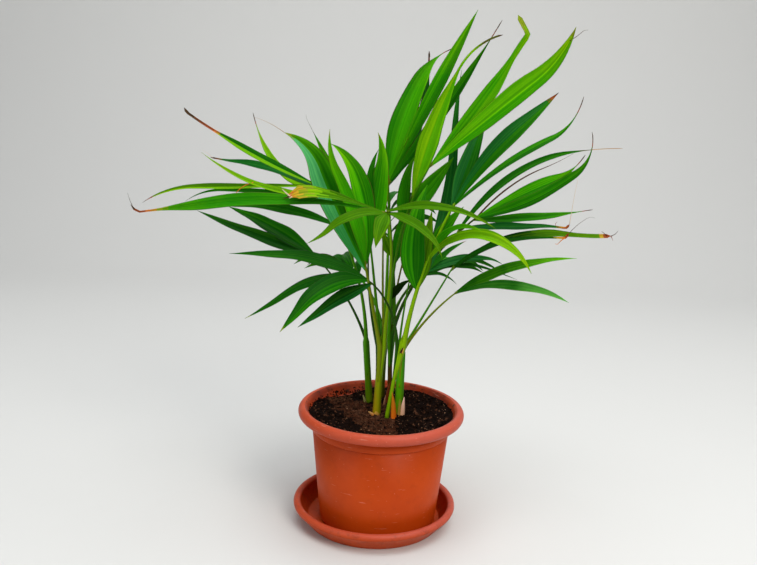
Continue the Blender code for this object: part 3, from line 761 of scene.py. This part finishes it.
RIGHT = [
    (0.93, 10, 42, 67, 27, 167, 10, 0, "deep", "blunt", "late"),
    (0.96, -10, 45, 57, 14, 117, 6, 0, "deep", "orange_curl"),
]
FRONT = [
    (0.98, -15, 22, 53, 0, 98, 9, 0, "olive", "plain"),
    (0.97, -45, 1, 43, -26, 75, 10, 0, "olive", "plain"),
    (0.97, -110, -24, 43, 0, 38, 14, 0, "olive", "plain"),
    (0.96, -160, 15, 80, 43, 79, 10, 0, "olive", "plain"),
    (0.97, 175, 10, 29, 10, 232, 15, 0, "mid", "brown_hook", "slim_foot"),
    (0.96, 178, 21, 18, -35, 90, 15, 0, "olive", "yellow_dry", "club"),
    (0.64, 200, 61, -17, 0, 25, 9, 0, "olive", "plain"),
]
LEFT_UPRIGHT = [
    (0.88, -160, 60, -10, -50, 152, 25, 0, "teal/mid", "yellow_tip", "late"),
    (0.94, 160, 71, 12, 0, 132, 14, 0, "mid", "plain"),
    (0.97, -140, 78, 30, 48, 132, 13, 4, "grass", "yellow_tip"),
    (0.95, -165, 97, 42, -26, 122, 19, 6, "grass/mid", "plain", "late"),
]
LEFT_INNER = [
    (0.97, 0, 81, -6, 26, 101, 19, 5, "mid/grass", "yellow_tip"),
    (0.95, 45, 99, 19, -25, 88, 12, 0, "forest", "plain"),
]
LEFT_BACK = [
    (0.95, 165, 20, -9, 3, 152, 9, 0, "lime/forest", "long_brown"),
    (0.92, 150, 22, 31, 14, 135, 11, 0, "blue", "brown_tip"),
    (0.88, -170, -2, -41, 0, 121, 7, 0, "lime", "yellow_tip"),
    (0.93, 130, -7, -72, 0, 141, 9, 0, "lime", "whip"),
    (0.94, 180, -2, 2, -32, 169, 7, 0, "lime/olive", "rust_tip", "late"),
    (0.86, 170, 4, 8, -31, 142, 6, 0, "forest", "plain"),
    (0.68, 160, 18, 34, 4, 167, 12, 0, "forest", "whip"),
]
LEFT_LOW = [
    (0.98, 165, 12.5, -6, 0, 133, 14, 0, "deep", "plain"),
    (0.97, 150, 27, 16, 0, 118, 18, 0, "deep/forest", "plain"),
]
LEFT_FRONT = [
    (0.97, -170, 31, 43, 12, 127, 13, 0, "deep", "plain"),
    (0.98, -165, 15.5, 72, 31, 118, 11, 0, "deep", "yellow_tip"),
    (0.98, -145, 18, 87, 25, 102, 19, 0, "forest/deep", "yellow_tip"),
    (0.92, -155, -17, 22, 8, 78, 14, 0, "blue/deep", "plain"),
]
RIGHT_FRONT = [
    (0.39, -128, 63, -64, 0, 102, 23, 0, "mid/forest", "plain"),
    (0.40, 60, 40, -73, -38, 216, 12, 0, "blue", "plain"),
    (0.96, 60, 53, 0, -9, 108, 17, 0, "blue/forest", "plain"),
    (0.97, 15, 60, 28, 10, 141, 16, 0, "blue/forest", "rust_tip", "late"),
    (0.97, 30, 38, 25, 64, 180, 7, 0, "mid/forest", "whip", "late"),
    (0.58, -35, 62, 117, -3, 126, 11, 0, "lime", "plain", "late"),
    (0.67, -60, 51, 59, 0, 83, 9, 0, "grass", "plain"),
    (0.66, 0, 67, 20, 0, 50, 12, 0, "mid", "plain"),
    (0.39, 150, 101, 5, 0, 76, 15, 0, "olive", "plain"),
]
RIGHT_INNER = [
    (0.97, 40, 40, 27, 0, 62, 7, 0, "forest", "rust_tip"),
    (0.97, 25, 26, 44, -14, 94, 11, 0, "blue", "plain"),
    (0.98, 20, 20, 58, 18, 106, 5, 0, "deep", "plain"),
    (0.87, 15, 25, 75, 0, 43, 5, 0, "deep", "plain"),
]
RIGHT_LOW = [
    (0.97, -15, 38, 33, 0, 113, 11, 5, "deep_lime", "plain"),
    (0.96, -30, 28, 47, 0, 109, 13, -4, "deep_pale", "plain", "late"),
]
FIRST_PAIR = 0.70
LAST_PAIR = 0.97
PAIR_STAGGER = 0.015
PAIR_LIFT = 36
LAST_PAIR_LIFT = 26
PAIR_DROOP = 66
PAIR_ROLL = 12
PAIR_CLOSING = 0.7
END_PAIR_LENGTH = 0.81
MIDDLE_PAIR_GAIN = 0.77


def paired_leaflets(heading, pairs, longest, width, spread):
    """Leaflets in pairs along a stalk: the lower ones spread wide, the last ones point ahead."""
    rows = []
    for index in range(pairs):
        along = index / (pairs - 1)
        aside = spread * (1 - PAIR_CLOSING * along)
        lift = PAIR_LIFT + (LAST_PAIR_LIFT - PAIR_LIFT) * along
        length = longest * (END_PAIR_LENGTH + MIDDLE_PAIR_GAIN * along * (1 - along))
        for side in (-1, 1):
            share = FIRST_PAIR + (LAST_PAIR - FIRST_PAIR) * along - (PAIR_STAGGER if side > 0 else 0)
            rows.append((share, heading + side * aside, lift, PAIR_DROOP, 0, length, width,
                         side * PAIR_ROLL, "mid" if side > 0 else "forest", "plain"))
    return rows


FRONDS = {
    "crown": Frond("back", 5, -103, -160, 88, 8, 156, 1.1, (-90, 25), "green", CROWN),
    "up_right": Frond("back", 245, -82, 50, 91, 34, 183, 0.9, (-90, 35), "green", UP_RIGHT),
    "right_back": Frond("back", 302, -31, 50, 77, 42, 154, 0.9, (-80, 45), "dark", RIGHT_BACK),
    "right": Frond("right", 90, 12, 0, 60, -1, 97, 0.75, (-80, 50), "green", RIGHT),
    "front": Frond("middle", 324, -65, -45, 87, 35, 150, 1.0, (-90, 45), "lime", FRONT),
    "left_upright": Frond("middle", 252, -165, 0, 78, 0, 85, 1.1, (-90, 25), "olive", LEFT_UPRIGHT),
    "left_inner": Frond("middle", 108, 160, 0, 83, 2, 104, 0.95, (-90, 25), "green", LEFT_INNER),
    "left_back": Frond("left", 270, 175, 0, 88, 37, 173, 0.9, (-95, 45), "green", LEFT_BACK),
    "left_low": Frond("left", 90, 160, 0, 68, 28, 101, 0.75, (-95, 50), "dark", LEFT_LOW),
    "left_front": Frond("front", 180, -135, 0, 85, 52, 83, 0.8, (-95, 45), "dark", LEFT_FRONT),
    "right_front": Frond("front", 0, -24, 30, 83, 19, 144, 1.2, (-85, 35), "bright", RIGHT_FRONT),
    "right_inner": Frond("back", 63, 30, 0, 91, 67, 75, 0.75, (-80, 55), "dark", RIGHT_INNER),
    "right_low": Frond("right", 270, -36, 0, 60, 19, 91, 0.75, (-80, 50), "olive", RIGHT_LOW),
    "rear": Frond("rear", 90, 90, 0, 86, 34, 135, 1.0, (90, 50), "green", paired_leaflets(90, 4, 105, 15, 42)),
    "rear_left": Frond("rear", 180, 126, 0, 70, 70, 92, 0.9, (120, 50), "green",
                       paired_leaflets(126, 3, 80, 13, 36)),
    "rear_right": Frond("rear", 0, 48, 0, 70, 70, 96, 0.9, (60, 50), "green", paired_leaflets(48, 3, 90, 13, 36)),
}
# Spears are young fronds that are still rolled up into a thin point
SPEARS = {
    "left": Frond("middle", 180, 170, 0, 75, -19, 116, 0.7, (-90, 25), "dark", []),
    "middle": Frond("middle", 36, 120, 0, 81, -8, 115, 0.75, (-90, 25), "olive", []),
    "back": Frond("back", 120, 50, 0, 80, 13, 113, 0.65, (-90, 25), "brown", []),
    "right": Frond("right", 180, 10, 0, 87, 7, 79, 0.65, (-90, 25), "green", []),
}
STEM_TOP_RADII = {"left": 4.6, "middle": 5.6, "back": 5.2, "front": 5.0, "right": 4.8, "rear": 5.0}
STALK_FOOT_RADIUS = 1.9 * MM
STALK_TIP_RADIUS = 0.9 * MM
STALK_SEAT_INSET = 2.0 * MM
STALK_SWELL = 0.5 * MM
STALK_SIDES = 16
STALK_RINGS = 40
SHEATH_LENGTH = 34.0 * MM
SHEATH_RINGS = 14
SHEATH_OFFSET = 0.8

STALK_SKINS = {
    "green": ((0.045, 0.190, 0.001), (0.035, 0.150, 0.001), 0.0, 0, 1),
    "lime": ((0.150, 0.270, 0.001), (0.110, 0.250, 0.001), 0.0, 0, 1),
    "olive": ((0.130, 0.170, 0.003), (0.095, 0.150, 0.003), 0.0, 0, 1),
    "brown": ((0.070, 0.075, 0.004), (0.090, 0.095, 0.006), 0.0, 0, 1),
    "dark": ((0.012, 0.060, 0.002), (0.022, 0.045, 0.003), 0.0, 0, 1),
    "bright": ((0.180, 0.330, 0.001), (0.110, 0.270, 0.001), 0.0, 0, 1),
}
stalk_skins = {name: skin_material("stalk_skin_" + name, skin, 175, 300) for name, skin in STALK_SKINS.items()}
stalk_margin = skin_material("stalk_margin", ((0.14, 0.045, 0.006), (0.06, 0.05, 0.004), 0.0, 0, 1), 130, 260)


def stalk_radius(share):
    """Thick where the stalk leaves its sheath, slim among its leaflets, pointed at its end."""
    even = STALK_FOOT_RADIUS + (STALK_TIP_RADIUS - STALK_FOOT_RADIUS) * share
    return (even + STALK_SWELL * max(0.0, 1 - share / 0.3) ** 2) * min(1.0, 0.3 + (1 - share) * 12)


def make_stalk(node, frond, stalk):
    """The stalk and the sheath below it, which lies in its stem's skin and slowly leaves it."""
    stem = STEMS[frond.stem]
    low, top = stem_path(stem, 1)
    inner = SHEATH_OFFSET * MM
    outer = (stalk[0] - top).xy.length
    points = []
    radii = []
    for i in range(SHEATH_RINGS):
        q = i / SHEATH_RINGS
        height = stalk[0].z - SHEATH_LENGTH * (1 - q)
        axis = low.lerp(top, (height - low.z) / (top.z - low.z))
        points.append(axis + direction(frond.seat, 0) * (inner + (outer - inner) * q ** 1.5))
        radii.append((stem.waist_radius - SHEATH_OFFSET) * MM * (1 - q) + stalk_radius(0) * frond.girth * q)
    radii += [stalk_radius(i / STALK_RINGS) * frond.girth for i in range(STALK_RINGS + 1)]
    verts = []
    faces = []
    add_tube(verts, faces, points + stalk, radii, STALK_SIDES)
    margins = (0, STALK_SIDES // 2)
    slots = [1 if n % STALK_SIDES in margins else 0 for n in range(len(faces) - 2)] + [0, 0]
    piece = new_mesh(node + "_stalk", verts, faces, [stalk_skins[frond.skin], stalk_margin], slots)
    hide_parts(node)


def leaf_blade_group():
    """A palm leaflet's skin: veins along it, cloudy patches, a paler tip and a waxy sheen."""
    group, given, result = node_group("leaf_blade", [
        ("Colour", "NodeSocketColor", (0.02, 0.2, 0.005, 1)), ("Tip", "NodeSocketColor", (0.1, 0.3, 0.005, 1)),
        ("Tip From", "NodeSocketFloat", 0.7), ("Dullness", "NodeSocketFloat", 0.36)],
        [("Colour", "NodeSocketColor"), ("Roughness", "NodeSocketFloat"), ("Normal", "NodeSocketVector")])
    place = group.nodes.new("ShaderNodeTexCoord").outputs["Object"]
    along = group.nodes.new("ShaderNodeUVMap")
    along.uv_map = "blade"
    parts = group.nodes.new("ShaderNodeSeparateXYZ")
    group.links.new(along.outputs["UV"], parts.inputs["Vector"])
    patches = ramp(group, grain(group, place, 38, 3), 0.36, 0.66)
    clouds = blend_colour(group, maths(group, "MULTIPLY", patches, 0.20), given.outputs["Colour"],
                          given.outputs["Tip"])
    wander = maths(group, "ADD", parts.outputs["Y"], ramp(group, grain(group, place, 60, 2), 0.3, 0.7, -0.08, 0.08))
    tipward = ramp(group, wander, given.outputs["Tip From"], 1.0)
    shade = blend_colour(group, tipward, clouds, given.outputs["Tip"])
    veins = grain(group, stretched(group, along.outputs["UV"], (26.0, 0.6, 1.0)), 1.0, 2, 0.5)
    stripes = grain(group, stretched(group, along.outputs["UV"], (8.0, 0.35, 1.0)), 1.0, 2, 0.6)
    pale = group.nodes.new("ShaderNodeVectorMath")
    pale.operation = "MULTIPLY_ADD"
    pale.inputs[1].default_value = VEIN_GAIN
    pale.inputs[2].default_value = VEIN_TINT
    group.links.new(shade, pale.inputs[0])
    streaks = maths(group, "ADD", ramp(group, veins, 0.50, 0.72, 0.0, 0.35), ramp(group, stripes, 0.46, 0.66, 0.0, 0.65))
    streaky = blend_colour(group, streaks, shade, pale.outputs["Vector"])
    darkening = ramp(group, stripes, 0.30, 0.46, 0.45, 0.0)
    dim = group.nodes.new("ShaderNodeVectorMath")
    dim.operation = "MULTIPLY"
    dim.inputs[1].default_value = VEIN_SHADE
    group.links.new(streaky, dim.inputs[0])
    group.links.new(blend_colour(group, darkening, streaky, dim.outputs["Vector"]), result.inputs["Colour"])
    group.links.new(maths(group, "ADD", given.outputs["Dullness"], ramp(group, veins, 0.3, 0.7, -0.05, 0.07)),
                    result.inputs["Roughness"])
    group.links.new(bumped(group, veins, 0.6, 0.0006), result.inputs["Normal"])
    return group


VEIN_GAIN = (2.1, 1.55, 1.5)
VEIN_TINT = (0.014, 0.030, 0.0)
VEIN_SHADE = (0.50, 0.62, 0.7)
LEAF_BLADE = leaf_blade_group()
LeafTone = namedtuple("LeafTone", "upper lower tip tip_from edge dullness shine")
LEAF_TONES = {
    "black": LeafTone((0.002, 0.012, 0.001), (0.004, 0.020, 0.002), (0.004, 0.030, 0.001), 0.6, "dark_edge", 0.40, 0.02),
    "deep": LeafTone((0.002, 0.052, 0.001), (0.005, 0.075, 0.004), (0.006, 0.085, 0.001), 0.6, "dark_edge", 0.40, 0.03),
    "deep_lime": LeafTone((0.002, 0.055, 0.001), (0.005, 0.075, 0.004), (0.080, 0.340, 0.002), 0.48, "dark_edge", 0.40, 0.02),
    "deep_pale": LeafTone((0.003, 0.065, 0.001), (0.005, 0.075, 0.004), (0.060, 0.260, 0.030), 0.55, "brown_edge", 0.40, 0.03),
    "forest": LeafTone((0.004, 0.085, 0.001), (0.008, 0.095, 0.004), (0.012, 0.130, 0.001), 0.6, "dark_edge", 0.40, 0.02),
    "blue": LeafTone((0.002, 0.078, 0.008), (0.008, 0.105, 0.022), (0.006, 0.110, 0.006), 0.6, "dark_edge", 0.36, 0.05),
    # The teal tone is a painted sheen: its turquoise tip colour, spread from a fifth of the way along, stands in for
    # the sky's reflection on the blade.
    "teal": LeafTone((0.020, 0.230, 0.040), (0.018, 0.150, 0.020), (0.070, 0.340, 0.110), 0.2, "brown_edge", 0.36, 0.06),
    "mid": LeafTone((0.010, 0.145, 0.001), (0.018, 0.150, 0.004), (0.040, 0.210, 0.001), 0.6, "brown_edge", 0.42, 0.02),
    "grass": LeafTone((0.026, 0.245, 0.001), (0.034, 0.220, 0.004), (0.080, 0.300, 0.001), 0.6, "brown_edge", 0.42, 0.02),
    "fresh": LeafTone((0.060, 0.310, 0.001), (0.055, 0.270, 0.004), (0.150, 0.360, 0.001), 0.7, "pale_edge", 0.42, 0.02),
    "lime": LeafTone((0.080, 0.260, 0.001), (0.070, 0.240, 0.004), (0.160, 0.330, 0.002), 0.6, "pale_edge", 0.42, 0.02),
    "olive": LeafTone((0.030, 0.125, 0.0005), (0.035, 0.120, 0.003), (0.060, 0.170, 0.001), 0.5, "brown_edge", 0.42, 0.02),
}
DRY_TONES = {
    "dark_edge": (0.010, 0.050, 0.002),
    "brown_edge": (0.055, 0.060, 0.003),
    "pale_edge": (0.085, 0.190, 0.004),
    "root": (0.090, 0.150, 0.005),
    "yellow_green": (0.180, 0.260, 0.003),
    "gold": (0.400, 0.280, 0.010),
    "amber": (0.500, 0.150, 0.012),
    "rust": (0.230, 0.045, 0.010),
    "umber": (0.050, 0.020, 0.007),
    "straw": (0.330, 0.210, 0.080),
    "pale_dry": (0.600, 0.480, 0.350),
}


def leaf_material(name, shade, tip, tip_from, dullness, shine):
    return principled("leaf_" + name, LEAF_BLADE, {"Colour": colour(shade), "Tip": colour(tip),
                                                   "Tip From": tip_from, "Dullness": dullness}, shine)


leaf_finishes = {}
for name, tone in LEAF_TONES.items():
    rib = tuple(part * 1.2 for part in tone.upper)
    faces_of_leaf = (("", tone.upper, 0.0), ("_under", tone.lower, 0.1), ("_rib", rib, 0.0))
    for side, shade, duller in faces_of_leaf:
        leaf_finishes[name + side] = leaf_material(name + side, shade, tone.tip, tone.tip_from,
                                                   tone.dullness + duller, tone.shine)
for name, shade in DRY_TONES.items():
    leaf_finishes[name] = leaf_material(name, shade, tuple(part * 0.8 for part in shade), 0.7, 0.55, 0.1)

# How a leaflet ends: where it has become thin and how thin, a hook, and bands (from, finish, ragged)
Ending = namedtuple("Ending", "thin_from thin_width hook_from hook bands")
ENDINGS = {
    "plain": Ending(1, 0, 1, 0, ()),
    "whip": Ending(0.88, 0.9, 1, 0, ((0.90, "rust", 0.01), (0.94, "umber", 0.01))),
    "thread": Ending(0.79, 0.7, 1, 0, ((0.76, "brown_edge", 0.02), (0.82, "straw", 0))),
    "rust_tip": Ending(1, 0, 1, 0, ((0.93, "rust", 0.02), (0.97, "umber", 0.01))),
    "brown_tip": Ending(0.97, 2.0, 1, 0, ((0.90, "rust", 0.03), (0.94, "umber", 0.02))),
    "long_brown": Ending(0.74, 2.8, 0.95, 25, ((0.715, "amber", 0.015), (0.74, "rust", 0.03),
                                              (0.84, "umber", 0.12))),
    "brown_hook": Ending(0.90, 2.2, 0.95, 60, ((0.86, "yellow_green", 0.03), (0.90, "amber", 0.02),
                                              (0.93, "rust", 0.02), (0.97, "umber", 0.01))),
    "orange_curl": Ending(0.92, 2.6, 0.94, 60, ((0.88, "gold", 0.03), (0.92, "amber", 0.02),
                                               (0.96, "rust", 0.02))),
    "kink": Ending(0.74, 5.0, 0.87, 66, ((0.90, "yellow_green", 0.05),)),
    "long_thin": Ending(0.70, 2.4, 1, 0, ((0.86, "brown_edge", 0.04), (0.98, "umber", 0.01))),
    "blunt": Ending(0.80, 5.0, 1, 0, ((0.46, "olive", 0.10), (0.93, "gold", 0.01), (0.95, "rust", 0.01))),
    "yellow_tip": Ending(1, 0, 1, 0, ((0.95, "yellow_green", 0.02),)),
    "yellow_dry": Ending(0.99, 6.0, 1, 0, ((0.62, "lime", 0.12), (0.76, "yellow_green", 0.08),
                                           (0.86, "gold", 0.06), (0.94, "amber", 0.04),
                                           (0.97, "pale_dry", 0.02))),
}
LEAFLET_STATIONS = 44
LEAFLET_THICKNESS = 0.45 * MM
ROOT_THICKNESS = 1.3 * MM
LEAFLET_FOLD = 0.34
FOLD_GROWTH = 4
LEAFLET_ROOT_WIDTH = 1.8
# The blade's outlines: where it is widest, how slowly it widens up to there and how it narrows
SHAPES = {"even": (0.36, 1.1, 1.5), "early": (0.33, 1.1, 0.85), "late": (0.58, 1.1, 1.5),
          "slim_foot": (0.60, 2.2, 1.5), "club": (0.90, 3.0, 1.5)}
PLEAT = 0.34 * MM
WAVE = 0.7 * MM
TWIST = 8
# Places across half a blade, from the midrib to the margin, and how far each pleat stands up
PLEATS = ((0.0, -0.6), (0.08, 0.5), (0.26, -1.0), (0.44, 1.0), (0.62, -1.0), (0.80, 0.8), (0.95, 0.0), (1.0, 0.0))
ACROSS = [(-u, p) for u, p in reversed(PLEATS[1:])] + list(PLEATS)
COLUMNS = len(ACROSS)
RING_US = [u for u, _ in ACROSS] + [u for u, _ in ACROSS[-2:0:-1]]
RING_SIZE = len(RING_US)


def leaflet_width(leaflet, share):
    """The blade's width: slim at its root, widest at a third, then pointed, or thin from some place."""
    widest, slowness, taper = SHAPES[leaflet.shape]
    if share < widest:
        swell = math.sin(share / widest * math.pi / 2) ** slowness
        root = min(LEAFLET_ROOT_WIDTH, leaflet.width)
        return (root + (leaflet.width - root) * swell) * MM
    width = leaflet.width * (1 - ((share - widest) / (1 - widest)) ** taper)
    ending = ENDINGS[leaflet.ending]
    if ending.thin_from < 1:
        toward = min(1.0, max(0.0, (share - ending.thin_from + 0.2) / 0.2)) ** 1.5
        thin = ending.thin_width * min(1.0, (1 - share) / 0.02)
        width = width * (1 - toward) + thin * toward
    return max(width, 0.3) * MM


def face_finish(leaflet, along, across, is_upper, phase):
    """The finish of a face: its half's green, with painted light on one half of the fold and painted shade on the other
    where the tone names two, its green or dry band with a ragged border, its rib, margin or underside.
    """
    # Where the tone names two greens, the lighter half is painted light and the darker half painted shade of the fold.
    lit_and_shaded_halves = leaflet.tone.split("/")
    found = lit_and_shaded_halves[-1] if across > 0 else lit_and_shaded_halves[0]
    for start, finish, ragged in ENDINGS[leaflet.ending].bands:
        if along > start + ragged * (0.6 * math.sin(across * 9 + phase) + 0.4 * math.sin(across * 23 + 2 * phase)):
            found = finish
    if along < 0.02:
        return "root"
    if found not in LEAF_TONES:
        return found
    if abs(across) > 0.94 and along > 0.1:
        return LEAF_TONES[found].edge
    if not is_upper:
        return found + "_under"
    return found + "_rib" if abs(across) < 0.05 else found


def add_leaflet(blades, leaflet, root, opens, chance):
    """One leaflet: a thin closed blade, folded at its midrib and pleated along its veins."""
    verts, faces, finishes, places = blades
    ending = ENDINGS[leaflet.ending]
    points = arching_path(root, leaflet.heading, 0, leaflet.lift, leaflet.droop, leaflet.curl,
                          leaflet.length * MM, LEAFLET_STATIONS, ending.hook_from, ending.hook)
    phase, waves, twist = chance.uniform(0, math.tau), chance.uniform(1.5, 3.0), chance.uniform(-TWIST, TWIST)
    start = len(verts)
    for index, (point, along) in enumerate(zip(points, tangents(points))):
        share = index / LEAFLET_STATIONS
        upper = (opens - along * opens.dot(along)).normalized()
        upper.rotate(Quaternion(along, math.radians(leaflet.roll + twist * share)))
        across = along.cross(upper)
        half = leaflet_width(leaflet, share) / 2
        size = min(1.0, half / (5 * MM))
        growth = min(1.0, FOLD_GROWTH * share)
        thick = (LEAFLET_THICKNESS * size ** 0.5 + ROOT_THICKNESS * max(0.0, 1 - share / 0.06)) / 2
        ring = []
        for i, u in enumerate(RING_US):
            pleat = ACROSS[i if i < COLUMNS else 2 * COLUMNS - 2 - i][1]
            lift = half * LEAFLET_FOLD / 2 * growth * (2 * abs(u) - 1) + pleat * PLEAT * growth * size
            lift += WAVE * size * growth * u * u * math.sin(math.tau * waves * share + phase + (0.9 if u > 0 else 0))
            body = 0.0 if abs(u) == 1 else thick * (1.0 if abs(u) < 0.1 else 0.5)
            ring.append(tuple(point + across * (half * u) + upper * (lift + (body if i < COLUMNS else -body))))
        verts += ring
    for station in range(LEAFLET_STATIONS):
        low = start + station * RING_SIZE
        for i in range(RING_SIZE):
            j = (i + 1) % RING_SIZE
            middle = (RING_US[i] + RING_US[j]) / 2
            faces.append((low + i, low + j, low + RING_SIZE + j, low + RING_SIZE + i))
            finishes.append(face_finish(leaflet, (station + 0.5) / LEAFLET_STATIONS, middle, i < COLUMNS - 1, phase))
            places += [((RING_US[n] + 1) / 2 + phase, (station + m) / LEAFLET_STATIONS)
                       for n, m in ((i, 0), (j, 0), (j, 1), (i, 1))]
    last = start + LEAFLET_STATIONS * RING_SIZE
    faces += [tuple(start + i for i in reversed(range(RING_SIZE))), tuple(last + i for i in range(RING_SIZE))]
    finishes += ["root", face_finish(leaflet, 1.0, 0, True, phase)]
    places += [(phase, 0.0)] * RING_SIZE + [(phase, 1.0)] * RING_SIZE
    return points


def frond_stalk(frond):
    """The stalk's midline, from its seat on the stem's top."""
    low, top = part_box("stem_" + frond.stem)
    seat_radius = STEM_TOP_RADII[frond.stem] * MM - STALK_SEAT_INSET
    seat = stem_path(STEMS[frond.stem], 1)[1] + direction(frond.seat, 0) * seat_radius
    seat.z = top.z + CLEARANCE
    return arching_path(seat, frond.heading, frond.turn, frond.lift, frond.droop, 0,
                        frond.length * MM, STALK_RINGS)


leaflet_paths = {}
for frond_name, frond in FRONDS.items():
    stalk = frond_stalk(frond)
    make_stalk("frond_" + frond_name, frond, stalk)
    blades = ([], [], [], [])
    chance = random.Random(frond_name)
    for index, row in enumerate(frond.leaflets):
        leaflet = Leaflet(*row)
        place = leaflet.share * STALK_RINGS
        low = min(int(place), STALK_RINGS - 1)
        root = stalk[low].lerp(stalk[low + 1], place - low)
        leaflet_paths[frond_name, index] = add_leaflet(blades, leaflet, root, direction(*frond.opens), chance)
    verts, faces, finishes, places = blades
    used = sorted(set(finishes))
    piece = new_mesh("frond_" + frond_name + "_leaflets", verts, faces, [leaf_finishes[name] for name in used],
                     [used.index(name) for name in finishes])
    layer = piece.data.uv_layers.new(name="blade")
    layer.data.foreach_set("uv", [part for place in places for part in place])
    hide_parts("frond_" + frond_name)
for spear_name, spear in SPEARS.items():
    make_stalk("spear_" + spear_name, spear, frond_stalk(spear))


# Dry threads are fibres torn from the leaflets' margins and tips as they opened. They hang on by one
# end and curl freely.
Thread = namedtuple("Thread", "frond leaflet share heading lift droop curl length width tone")
THREADS = [
    Thread("up_right", 3, 0.93, -20, 30, -20, -60, 17, 0.7, "umber"),
    Thread("right_back", 5, 0.99, 60, 78, 12, 0, 44, 0.6, "pale_dry"),
    Thread("right_back", 5, 0.95, 200, -10, -60, 120, 16, 0.9, "rust"),
    Thread("right", 1, 0.98, 20, 50, 30, -40, 34, 0.5, "umber"),
    Thread("right", 1, 0.96, 190, -30, 30, 120, 12, 1.0, "amber"),
    Thread("right", 0, 0.98, 150, 40, 10, 0, 7, 1.0, "umber"),
    Thread("right", 0, 1.00, 10, 10, -50, 0, 9, 0.9, "umber"),
    Thread("right", 0, 0.99, -20, -50, 20, 0, 5, 0.9, "rust"),
    Thread("left_upright", 0, 1.00, 180, 35, 20, 0, 29, 0.5, "straw"),
    Thread("left_upright", 1, 0.97, 170, 60, 0, 30, 20, 0.4, "brown_edge"),
    Thread("left_back", 1, 0.98, 160, 40, 20, 0, 14, 0.4, "pale_dry"),
    Thread("left_back", 2, 0.55, 185, -10, 60, 0, 26, 1.3, "amber"),
    Thread("front", 5, 0.97, 170, 40, 0, 0, 9, 1.6, "pale_dry"),
    Thread("front", 5, 0.98, 200, -10, 20, 0, 6, 1.4, "umber"),
    Thread("front", 4, 0.97, 150, 50, -20, 0, 16, 0.6, "umber"),
]
verts = []
faces = []
slots = []
thread_tones = sorted({thread.tone for thread in THREADS})
for thread in THREADS:
    midline = leaflet_paths[thread.frond, thread.leaflet]
    root = midline[round(thread.share * LEAFLET_STATIONS)]
    points = arching_path(root, thread.heading, 0, thread.lift, thread.droop, thread.curl, thread.length * MM, 24)
    count = len(faces)
    add_tube(verts, faces, points, [thread.width / 2 * MM * (1 - 0.7 * i / 24) for i in range(25)], 6)
    slots += [thread_tones.index(thread.tone)] * (len(faces) - count)
threads = new_mesh("dry_threads", verts, faces, [leaf_finishes[tone] for tone in thread_tones], slots)
layer = threads.data.uv_layers.new(name="blade")


# The floor and the wall behind it are one pale sweep. A broad soft light hangs overhead, a smaller
# one stands in front at the right and a weak one at the left, and the camera looks a little down.
camera_data = bpy.data.cameras.new("camera")
camera_data.sensor_width = 36
camera_data.lens = 36 * 890 / 757
camera_data.clip_start = 0.01
camera = bpy.data.objects.new("camera", camera_data)
scene.collection.objects.link(camera)
scene.camera = camera
PITCH = math.radians(12.66)
ROLL = math.radians(2.20)
forward = Vector((0, math.cos(PITCH), -math.sin(PITCH)))
level_right = Vector((1, 0, 0))
level_up = level_right.cross(forward)
right = level_right * math.cos(ROLL) + level_up * math.sin(ROLL)
up = level_up * math.cos(ROLL) - level_right * math.sin(ROLL)
camera.matrix_world = Matrix.Translation((-3.8 * MM, -815.5 * MM, 421.4 * MM)) @ Matrix(
    (right, up, -forward)).transposed().to_4x4()

SWEEP_WIDTH = 6.0
SWEEP_FRONT = -2.5
SWEEP_BACK = 1.0
SWEEP_BEND = 0.8
SWEEP_HEIGHT = 3.0
sweep_points = [(SWEEP_FRONT, 0.0)]
sweep_points += [(SWEEP_BACK + SWEEP_BEND * math.sin(a), SWEEP_BEND * (1 - math.cos(a)))
                 for a in (math.pi / 2 * i / 24 for i in range(25))]
sweep_points += [(SWEEP_BACK + SWEEP_BEND, SWEEP_HEIGHT)]
sweep_verts = [(side * SWEEP_WIDTH / 2, y, z) for y, z in sweep_points for side in (-1, 1)]
sweep_faces = [(2 * i, 2 * i + 1, 2 * i + 3, 2 * i + 2) for i in range(len(sweep_points) - 1)]
sweep_mesh = bpy.data.meshes.new("sweep")
sweep_mesh.from_pydata(sweep_verts, [], sweep_faces)
sweep_mesh.polygons.foreach_set("use_smooth", [True] * len(sweep_faces))
sweep = bpy.data.objects.new("sweep", sweep_mesh)
scene.collection.objects.link(sweep)
sweep_paint = bpy.data.materials.new("sweep_paint")
sweep_paint.use_nodes = True
sweep_shader = sweep_paint.node_tree.nodes["Principled BSDF"]
sweep_shader.inputs["Base Color"].default_value = (0.62, 0.61, 0.59, 1)
sweep_shader.inputs["Roughness"].default_value = 0.9
sweep_mesh.materials.append(sweep_paint)

LIGHTS = [
    ("overhead", (0.2, -0.1, 1.9), 2.0, 42, (0.95, 0.98, 1.0)),
    ("key", (1.0, -1.5, 1.5), 0.9, 26, (1.0, 0.97, 0.92)),
    ("fill", (-1.5, -1.1, 0.8), 1.2, 7, (0.94, 0.97, 1.0)),
]
for light_name, place, size, power, tint in LIGHTS:
    light_data = bpy.data.lights.new(light_name, "AREA")
    light_data.size = size
    light_data.energy = power
    light_data.color = tint
    light = bpy.data.objects.new(light_name, light_data)
    light.location = place
    light.rotation_euler = (Vector((0, 0, 0.22)) - Vector(place)).to_track_quat("-Z", "Y").to_euler()
    scene.collection.objects.link(light)
world = bpy.data.worlds.new("sky")
world.use_nodes = True
world.node_tree.nodes["Background"].inputs["Color"].default_value = (0.9, 0.95, 1.0, 1)
world.node_tree.nodes["Background"].inputs["Strength"].default_value = 0.25
scene.world = world
scene.view_settings.view_transform = "Standard"
